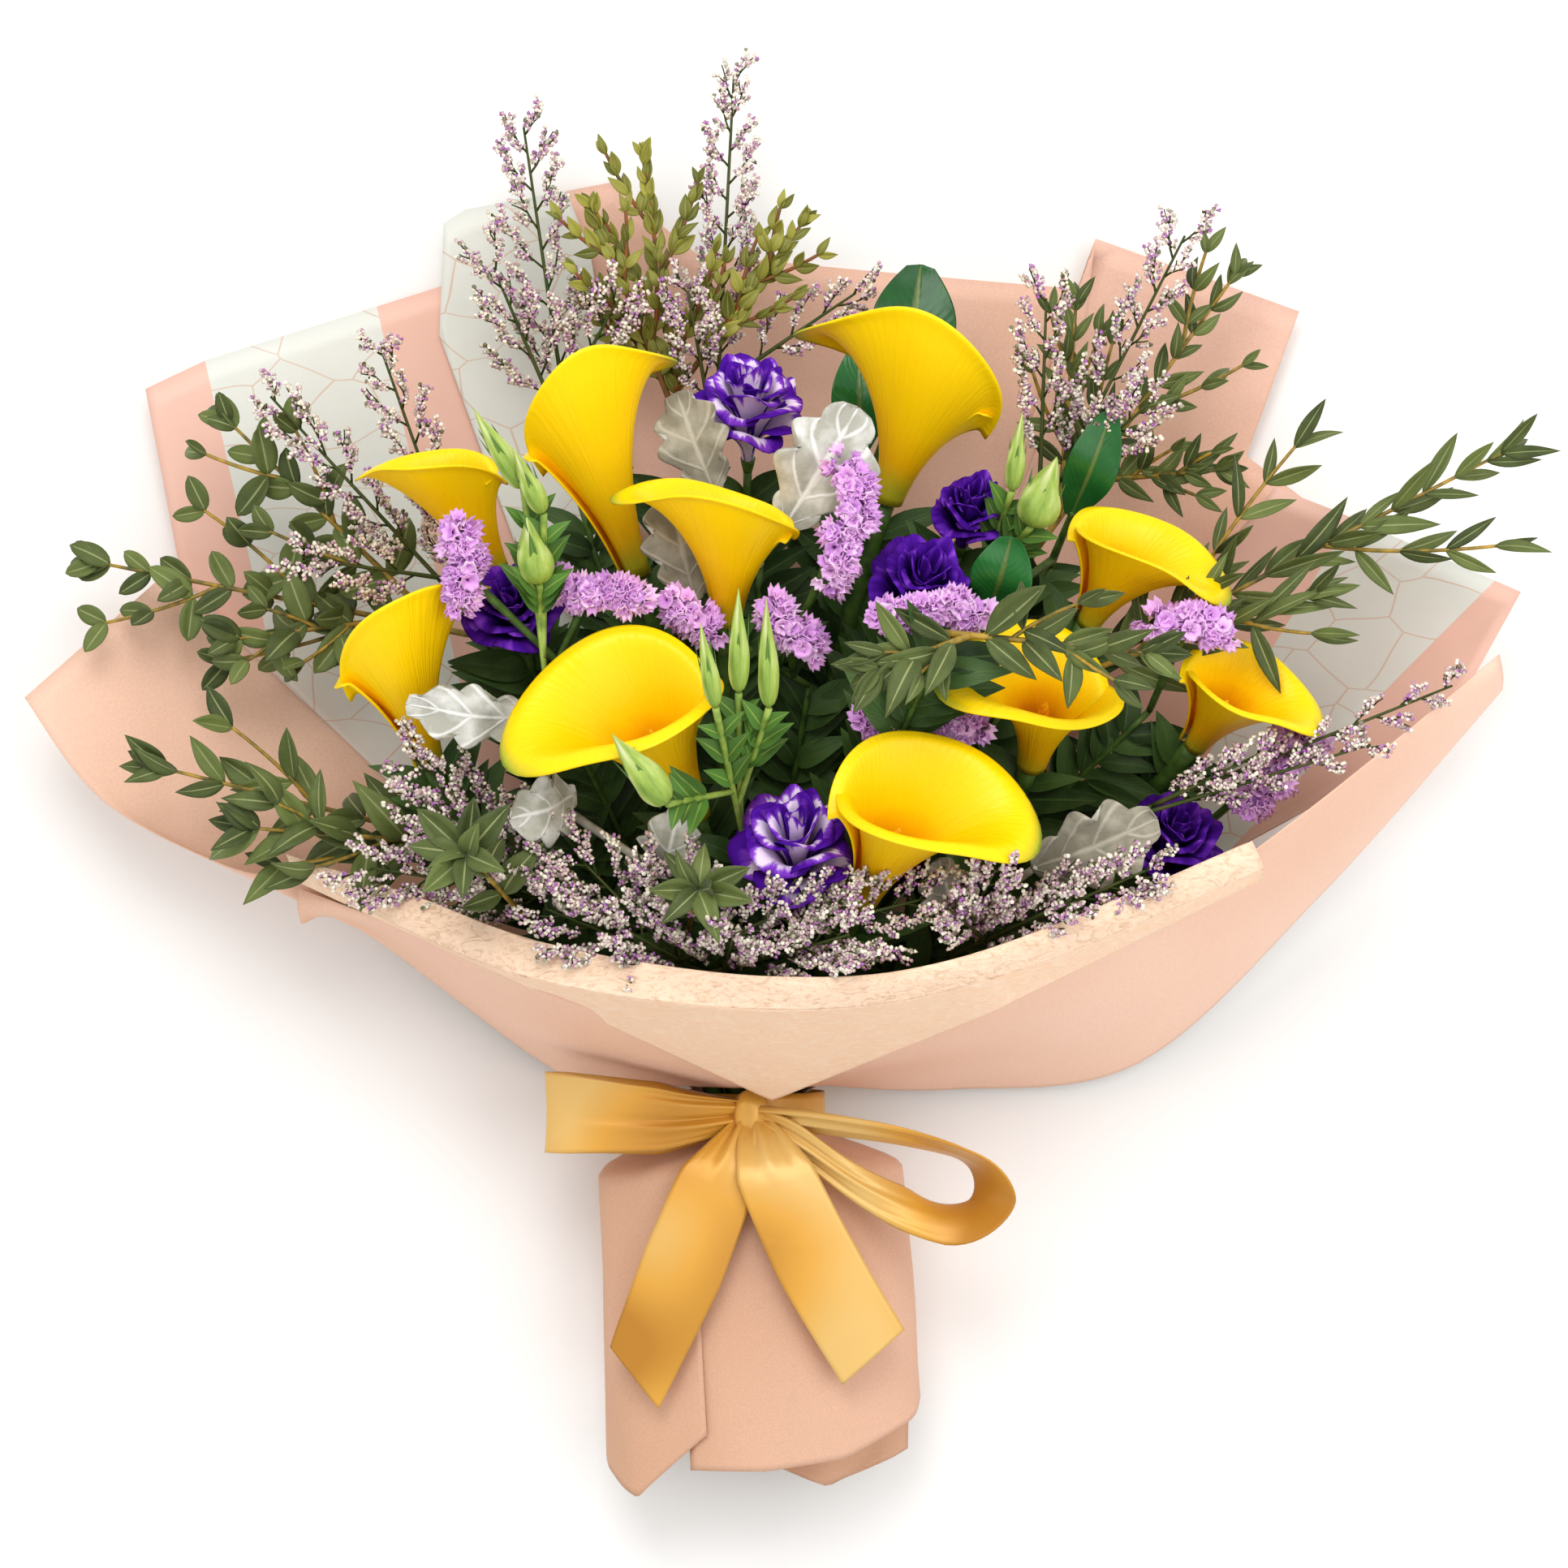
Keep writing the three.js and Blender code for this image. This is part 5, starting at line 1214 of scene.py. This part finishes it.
def lay_leafy_branch(bm, leaves, row, plan, rng, thick=1.2, shrink=1.0):
    lay_tube(bm, row, lambda s: mix(thick, 0.45, s), 6, 14, finish=1)
    length, width = plan["leaf"]
    pairs = max(2, round(length_of(row) * (1 - plan["start"]) / plan["spacing"]))
    for i in range(pairs):
        share = mix(plan["start"], 0.97, i / (pairs - 1))
        foot, ahead, level = place_on(row, share)
        roll = rng.uniform(-0.5, 0.5) + (0.9 if i % 2 else 0.0) * rng.choice((-1, 1))
        for side in (-1, 1):
            angle = math.radians(plan["angle"] * mix(1.1, 0.55, share) + rng.uniform(-14, 14))
            aside = level * side * math.cos(roll) + UP * side * math.sin(roll)
            out = ahead * math.cos(angle) + aside * math.sin(angle)
            size = mix(1.1, 0.72, share) * rng.uniform(0.78, 1.12) * shrink
            face = UP + Vector([rng.uniform(-0.5, 0.5) for _ in range(3)])
            leaf = rng.choice(leaves)
            set_leaf(bm, leaf, foot, out, face, length * size, width * size * rng.uniform(0.85, 1.15))


def lay_whorl(bm, leaves, row, plan, rng):
    """The leaves at a branch's end: a full open whorl on a plain stem, three small ones on a twiggy stem."""
    _, ahead, level = place_on(row, 1)
    length, width = plan["leaf"]
    count, lean, full = (3, 1.6, 0.7) if plan["twigs"] else (7, 0.35, 1)
    for i in range(count):
        turn = 2 * math.pi * (i + rng.uniform(0, 0.4)) / count
        out = ahead * lean + level * math.cos(turn) + level.cross(ahead) * math.sin(turn)
        size = rng.uniform(0.75, 1.0) * full
        set_leaf(bm, rng.choice(leaves), row[-1], out, UP + ahead * 0.2, length * size, width * size)


def lay_leafy_stem(bm, leaves, plan, rng):
    for row in forks(plan["root"], plan["tips"], 4):
        lay_leafy_branch(bm, leaves, row, plan, rng)
        for i in range(plan["twigs"]):
            share = mix(0.2, 0.8, (i + rng.uniform(0.2, 0.8)) / plan["twigs"])
            start, ahead, level = place_on(row, share)
            outer = level * (1 if i % 2 else -1)
            out = (ahead + outer * rng.uniform(0.5, 0.9) + UP * rng.uniform(0, 0.3)).normalized()
            reach = length_of(row) * mix(0.42, 0.2, share)
            twig = bent_row([start, start + out * reach * 0.5, start + (out + ahead * 0.3) * reach * 0.9], 8)
            lay_leafy_branch(bm, leaves, twig, plan, rng, 0.7, 0.85)
        lay_whorl(bm, leaves, row, plan, rng)


class BOUQUET_OT_foliage(bpy.types.Operator):
    """Sets the leafy stems: eucalyptus with golden stems and box with red ones"""

    bl_idname = "bouquet.foliage"
    bl_label = "Leafy Stems"

    def execute(self, context):
        look, sizes = chosen(context)
        rib = look.eucalyptus_rib
        eucalyptus = [
            leaf_skin("eucalyptus_leaf", look.eucalyptus_dark, look.eucalyptus_light, rib, 0.55, 0.15),
            green_stem("eucalyptus_stem", look.golden_stem, look.twig_green),
        ]
        box = [
            leaf_skin("box_leaf", look.box_dark, look.box_light, rib, 0.45),
            green_stem("box_stem", look.red_stem, look.twig_green),
        ]
        lance = [lance_leaf(*shape) for shape in ((0.5, 0.4, 0.85), (0.3, 1.1, 0.8), (0.8, -0.3, 0.9))]
        oval = [lance_leaf(*shape, 0.6) for shape in ((0.4, 0.2, 0.95), (0.2, 0.5, 0.95), (0.5, -0.3, 1.0))]
        for node, plan, bm, rng in pieces(LEAFY_STEMS, sizes.seed):
            lay_leafy_stem(bm, oval if node == "eucalyptus_left" else lance, plan, rng)
            finishes, slot = eucalyptus, "eucalyptus_green"
            if node == "boxwood_top":
                finishes, slot = box, "box_gold_green"
            finish_piece(bm, node, "leaves", finishes, slot, sizes.leaf)
        return {"FINISHED"}


# ---------------- dusty miller and broad leaves

# Each sprig: its root and its leaves, each with its foot, its tip, its half width, and which way it faces: 1
# where its underside looks up.
DUSTY_MILLERS = table("root leaves", {
    "dusty_miller_centre": ((-10, 90, 90), [((-28, 118, 116), (-44, 160, 112), 15, 1),
                                            ((-36, 74, 138), (-46, 120, 142), 16, 1),
                                            ((0, 104, 146), (30, 152, 150), 21, -1)]),
    "dusty_miller_left": ((-90, -20, 110), [((-100, 26, 150), (-152, 32, 158), 13, -1),
                                            ((-84, -4, 150), (-110, -14, 170), 15, -1),
                                            ((-50, -38, 150), (-42, -10, 166), 13, -1)]),
    "dusty_miller_right": ((80, -50, 130), [((100, -34, 152), (150, -14, 160), 18, 1),
                                            ((70, -54, 150), (62, -30, 166), 12, -1)]),
})
BROAD_LEAVES = table("root leaves", {
    "broad_leaf_top": ((30, 112, 44), [((50, 166, 58), (57, 216, 64), 17, -1),
                                       ((32, 138, 54), (31, 182, 58), 11, -1)]),
    "broad_leaf_right": ((110, 90, 80), [((118, 110, 96), (134, 152, 112), 10, -1),
                                         ((84, 72, 130), (92, 100, 146), 12, -1)]),
})


def lay_broad_leaf(bm, foot, tip, half, facing, lobed, rng):
    axis = tip - foot
    length = axis.length
    stand = aimed(foot, axis, Vector((0, -0.3, 1)))
    phase = rng.uniform(0, 6)

    def place(u, v):
        side = facing * (2 * u - 1)
        body = math.sin(math.pi * clamp(0.06 + 0.86 * v))
        lobes = 0.5 + 0.5 * math.cos(2 * math.pi * 3.5 * (v - 0.25 * abs(side)) + phase) if lobed else 1
        body *= 1 - 0.45 * (1 - lobes ** 0.6) * abs(side) ** 2
        across = side * (0.8 + half * body) if 0 < v < 1 else side * 0.4
        frill = (2.6 if lobed else 0.7) * side * side * math.sin(13 * v + phase + 2 * side)
        height = 0.16 * abs(across) + 5 * math.sin(math.pi * v) ** 2 + frill * body
        height += crumple(Vector((u * 3, v * 3, phase)), 1.0, 2.0 if lobed else 0.3) * body
        ahead = v * length + (0.14 * half * side * side if lobed else 0) * math.sin(math.pi * v)
        return stand @ Vector((height, across, ahead))

    lay_surface(bm, 28, 48, place)


def lay_sprig(bm, plan, lobed, rng):
    leaves = [(*points([foot, tip]), half, facing) for foot, tip, half, facing in plan["leaves"]]
    for row in forks(plan["root"], [foot + (tip - foot).normalized() * 2 for foot, tip, _, _ in leaves], -5):
        lay_tube(bm, row, lambda s: mix(1.6, 1.1, s), 8, 10, finish=2)
    for leaf in leaves:
        lay_broad_leaf(bm, *leaf, lobed, rng)


class BOUQUET_OT_broad_leaves(bpy.types.Operator):
    """Sets the felted dusty miller leaves and the glossy broad leaves"""

    bl_idname = "bouquet.broad_leaves"
    bl_label = "Dusty Miller and Broad Leaves"

    def execute(self, context):
        look, sizes = chosen(context)
        front = felted_leaf("dusty_miller_felt", look.felt_silver, look.felt_shade)
        back = felted_leaf("dusty_miller_underside", look.felt_back, look.felt_back_shade)
        stalk = green_stem("dusty_miller_stalk", look.felt_silver, look.felt_back, 0.8)
        rib = look.eucalyptus_light
        gloss = leaf_skin("broad_leaf_cuticle", look.gloss_dark, look.gloss_light, rib, 0.25)
        green = green_stem("broad_leaf_stalk", look.stem_green, look.stem_shade)
        for sprigs, finishes, slot, thickness, lobed in (
            (DUSTY_MILLERS, [back, front, stalk], "silver_felt", sizes.felt, True),
            (BROAD_LEAVES, [gloss, gloss, green], "gloss_green", sizes.leaf, False),
        ):
            for node, plan, bm, rng in pieces(sprigs, sizes.seed):
                lay_sprig(bm, plan, lobed, rng)
                finish_piece(bm, node, "leaves", finishes, slot, thickness, int(lobed))
        return {"FINISHED"}


# ---------------- buds

# Each sprig: its root and its buds, each with its foot, tip and radius.
BUDS = table("root buds", {
    "buds_left": ((-96, 40, 150), [
        ((-104, 118, 178), (-124, 150, 186), 5), ((-96, 108, 180), (-108, 134, 190), 4.5),
        ((-98, 80, 170), (-103, 108, 178), 7.5)]),
    "buds_centre": ((-16, -24, 150), [
        ((-27, 30, 212), (-33, 64, 222), 3.8), ((-18, 36, 198), (-18, 78, 206), 4.4),
        ((-6, 30, 196), (-7, 74, 204), 4.4), ((-46, -8, 212), (-68, 20, 220), 7)]),
    "buds_right": ((80, 80, 110), [
        ((92, 118, 150), (96, 150, 158), 4), ((100, 104, 146), (110, 132, 156), 9)]),
})


def lay_bud(bm, foot, tip, radius, sepal, rng):
    axis = tip - foot
    length = axis.length
    stand = aimed(foot, axis, UP)
    twist = rng.uniform(2.5, 4.0)

    def rolled(u, v):
        turn = 2 * math.pi * u
        swell = math.sin(math.pi * v ** 0.6) ** 0.9 * (1 - 0.35 * v) if 0 < v < 1 else 0.0
        ridge = 1 + 0.13 * math.cos(3 * turn + twist * v * 2) * ease(v, 0.15, 0.5)
        return stand @ round_point(turn, radius * 1.08 * swell * ridge, length * v)

    close_seams(bm, lay_surface(bm, 24, 24, rolled))
    for i in range(5):
        out = stand.to_3x3() @ round_point(2 * math.pi * i / 5, 1, 0)
        lean = (axis.normalized() + out * radius / length * 1.2).normalized()
        set_leaf(bm, sepal, foot + out * 0.8, lean, out, length * rng.uniform(0.6, 0.85), radius * 0.5)


def lay_stalk(bm, blade, row, rng):
    """A bud's stalk with opposite pairs of clasping leaves up its outer half."""
    lay_tube(bm, row, lambda s: mix(1.2, 1.5, s), 8, 10, finish=1)
    for share in (0.45, 0.62, 0.8):
        foot, ahead, level = place_on(row, share)
        for side in (-1, 1):
            out = ahead * rng.uniform(1.0, 1.8) + level * side + UP * rng.uniform(-0.2, 0.5)
            size = rng.uniform(17, 25) * mix(1.1, 0.7, share)
            set_leaf(bm, blade, foot, out, UP - level * side * 0.5, size, size * 0.42)


class BOUQUET_OT_buds(bpy.types.Operator):
    """Sets the lisianthus buds: rolled petals in narrow sepals on thin stalks"""

    bl_idname = "bouquet.buds"
    bl_label = "Buds"

    def execute(self, context):
        look, sizes = chosen(context)
        finishes = [
            bud_skin(look),
            green_stem("bud_stalk", look.bud_green, look.bud_shade),
            leaf_skin("lisianthus_leaf", look.leaf_green, look.sepal_green, look.bud_green, 0.5, 0.1),
        ]
        blade = lance_leaf(0.5, 0.4, 0.75, finish=2)
        for node, plan, bm, rng in pieces(BUDS, sizes.seed):
            for row in forks(plan["root"], [foot for foot, _, _ in plan["buds"]], -6):
                lay_stalk(bm, blade, row, rng)
            for foot, tip, radius in plan["buds"]:
                lay_bud(bm, Vector(foot), Vector(tip), radius, blade, rng)
            finish_piece(bm, node, "sprig", finishes, "bud_green")
        return {"FINISHED"}


# ---------------- stems

TIE_ROWS, TIE_PITCH = 6, 3.9  # stems above one another in the tie, and from one to the next
FEET = 24  # cut stems below the tie
FOOT_TURN = 2.4  # from one foot to the next, near the golden angle, so that they fill the bunch evenly
STEM_LEAF_GAP = 19


def stem_ends():
    """Where each head's own stem comes up to meet it, which way it points there, and its radius."""
    ends = [(plan["base"], Vector(plan["mouth"]), 1, 4.2) for plan in LILIES.values()]
    ends += [(plan["base"], Vector(plan["face"]), 3, 1.8) for plan in LISIANTHUS.values()]
    for sprigs in (STATICE, SEA_LAVENDERS, LEAFY_STEMS, DUSTY_MILLERS, BROAD_LEAVES, BUDS):
        ends += [(plan["root"], 2 * Vector(plan["root"]) - WAIST, 0.4, 1.4) for plan in sprigs.values()]
    for root, ahead, below, radius in ends:
        axis = (ahead - Vector(root)).normalized()
        yield Vector(root) - axis * below, axis, radius


def tie_slots():
    """Each stem's start, in columns from side to side of the tie, then what stem_ends says of its end."""
    by_side = sorted(stem_ends(), key=lambda end: end[0].x)
    columns = math.ceil(len(by_side) / TIE_ROWS)
    for column in range(columns):
        stack = sorted(by_side[column * TIE_ROWS:(column + 1) * TIE_ROWS], key=lambda end: end[0].z)
        for row, end in enumerate(stack):
            aside = Vector((column - (columns - 1) / 2, 0, row - (TIE_ROWS - 1) / 2)) * TIE_PITCH
            yield WAIST + aside + Vector((0, 3, 0)), *end


def lay_stem_leaves(bm, blades, row, pairs, rng):
    """Pairs of dark leaves up the outer half of a stem, between the flower heads. Their dark green is partly
    the leaves' own and partly painted shade, filling the depth between the heads.
    """
    for i in range(pairs):
        foot, ahead, level = place_on(row, mix(0.52, 0.93, i / max(1, pairs - 1)))
        for side in (-1, 1):
            out = ahead * rng.uniform(0.6, 1.4) + level * side + UP * rng.uniform(-0.4, 0.4)
            size, blade = rng.uniform(24, 38), rng.choice(blades)
            width = size * rng.uniform(0.28, 0.42)
            set_leaf(bm, blade, foot, out, UP - level * side * 0.4, size, width)


def lay_stems(bm, blades, rng):
    for start, root, axis, radius in tie_slots():
        offset, reach = root - WAIST, (root - start).length
        bend = Vector((offset.x * 0.25, offset.y * 0.4, offset.z * 0.2))
        row = bent_row([start, start + bend, root - axis * reach * 0.3, root], 20)
        lay_tube(bm, row, lambda s: mix(0.8 * radius, radius, s), 10, 20)
        lay_stem_leaves(bm, blades, row, round(reach / STEM_LEAF_GAP), rng)
    tie = [WAIST + Vector((0, y, 0)) for y in (-5, 0, 5)]
    lay_tube(bm, tie, lambda s: 17 + 0.5 * math.sin(9 * math.pi * s), 24, 18, finish=1)
    for i in range(FEET):
        ring = math.sqrt((i + 0.5) / FEET)
        across, up = ring * math.cos(i * FOOT_TURN), ring * math.sin(i * FOOT_TURN)
        top = WAIST + Vector((11 * across, 0, 11 * up))
        foot = Vector((-8 + 36 * across, FOOT_Y + 6 * ring + rng.uniform(0, 8), 38 + 22 * up))
        thick = rng.uniform(1.8, 4.0)
        lay_tube(bm, [top, mix(top, foot, 0.5), foot], lambda s: thick, 10, 6)


class BOUQUET_OT_stems(bpy.types.Operator):
    """Runs every stem down through the tie to its cut foot"""

    bl_idname = "bouquet.stems"
    bl_label = "Stems"

    def execute(self, context):
        look, sizes = chosen(context)
        finishes = [
            green_stem("cut_flower_stem", look.stem_green, look.stem_shade),
            green_stem("raffia_string", look.golden_stem, look.twig_green, 0.8),
            # Dark inner leaves: partly their own green, partly painted shade in the depth between the heads.
            leaf_skin("inner_leaf", look.leaf_dark, look.leaf_green, look.leaf_green, 0.5),
        ]
        blades = [lance_leaf(0.5, 0.4, 0.8, finish=2), lance_leaf(0.3, 1.2, 0.8, finish=2)]
        bm = empty_mesh()
        lay_stems(bm, blades, random.Random(sizes.seed))
        finish_piece(bm, "stem_bundle", "stems", finishes, "stem_green")
        return {"FINISHED"}


# ---------------- stage

CAMERA_HEIGHT, FRAME_WIDTH, FRAME_LEVEL = 3.0, 0.644, 0.1  # metres: the frame is this wide at this level


class BOUQUET_OT_stage(bpy.types.Operator):
    """Lays the floor, hangs the soft lights and aims the camera straight down at the bouquet"""

    bl_idname = "bouquet.stage"
    bl_label = "Studio Stage"

    def execute(self, context):
        scene = context.scene
        bm = bmesh.new()
        bmesh.ops.create_grid(bm, x_segments=4, y_segments=4, size=3.0)
        mesh = template_from(bm, "studio_floor")
        mesh.materials.append(matte_floor())
        floor = bpy.data.objects.new("studio_floor", mesh)
        scene.collection.objects.link(floor)
        for name, place, size, power in (  # metres and watts
            ("key_softbox", (-0.25, 0.9, 1.7), 0.9, 11),
            ("fill_softbox", (0.9, 0.1, 1.4), 1.2, 6),
        ):
            light = bpy.data.lights.new(name, "AREA")
            light.energy, light.size = power, size
            lamp = bpy.data.objects.new(name, light)
            lamp.location = place
            aim = Vector((0, 0, FRAME_LEVEL)) - Vector(place)
            lamp.rotation_euler = aim.to_track_quat("-Z", "Y").to_euler()
            scene.collection.objects.link(lamp)
        world = bpy.data.worlds.new("studio_air")
        world.use_nodes = True
        air = world.node_tree.nodes["Background"]
        air.inputs["Color"].default_value = (1.0, 1.0, 1.0, 1.0)
        air.inputs["Strength"].default_value = 0.78
        scene.world = world
        scene.view_settings.view_transform = "Standard"
        scene.view_settings.look = "Medium High Contrast"
        shot = bpy.data.cameras.new("top_camera")
        shot.sensor_width, shot.clip_end = 36, 20
        shot.lens = shot.sensor_width * (CAMERA_HEIGHT - FRAME_LEVEL) / FRAME_WIDTH
        camera = bpy.data.objects.new("top_camera", shot)
        camera.location = (0, 0, CAMERA_HEIGHT)
        scene.collection.objects.link(camera)
        scene.camera = camera
        return {"FINISHED"}


# ---------------- add-on

OPERATORS = (
    BOUQUET_OT_paper, BOUQUET_OT_ribbon, BOUQUET_OT_lilies, BOUQUET_OT_lisianthus, BOUQUET_OT_statice,
    BOUQUET_OT_sea_lavender, BOUQUET_OT_foliage, BOUQUET_OT_broad_leaves, BOUQUET_OT_buds, BOUQUET_OT_stems,
    BOUQUET_OT_stage,
)


class BOUQUET_PT_sidebar(bpy.types.Panel):
    """Lists the pieces of the bouquet and what a user would change"""

    bl_idname = "BOUQUET_PT_sidebar"
    bl_label = "Bouquet"
    bl_space_type = "VIEW_3D"
    bl_region_type = "UI"
    bl_category = "Bouquet"

    def draw(self, context):
        for operator in OPERATORS:
            self.layout.operator(operator.bl_idname)
        for group in (context.scene.bouquet_sizes, context.scene.bouquet_colours):
            box = self.layout.box()
            for name in group.bl_rna.properties.keys():
                if name not in ("rna_type", "name"):
                    box.prop(group, name)


CLASSES = (BouquetSizes, BouquetColours, *OPERATORS, BOUQUET_PT_sidebar)


def register():
    for cls in CLASSES:
        bpy.utils.register_class(cls)
    bpy.types.Scene.bouquet_sizes = PointerProperty(type=BouquetSizes)
    bpy.types.Scene.bouquet_colours = PointerProperty(type=BouquetColours)


def unregister():
    del bpy.types.Scene.bouquet_colours
    del bpy.types.Scene.bouquet_sizes
    for cls in reversed(CLASSES):
        bpy.utils.unregister_class(cls)


def main():
    register()
    bpy.ops.bouquet.paper()
    bpy.ops.bouquet.ribbon()
    bpy.ops.bouquet.lilies()
    bpy.ops.bouquet.lisianthus()
    bpy.ops.bouquet.statice()
    bpy.ops.bouquet.sea_lavender()
    bpy.ops.bouquet.foliage()
    bpy.ops.bouquet.broad_leaves()
    bpy.ops.bouquet.buds()
    bpy.ops.bouquet.stems()
    bpy.ops.bouquet.stage()


if __name__ == "__main__":
    main()
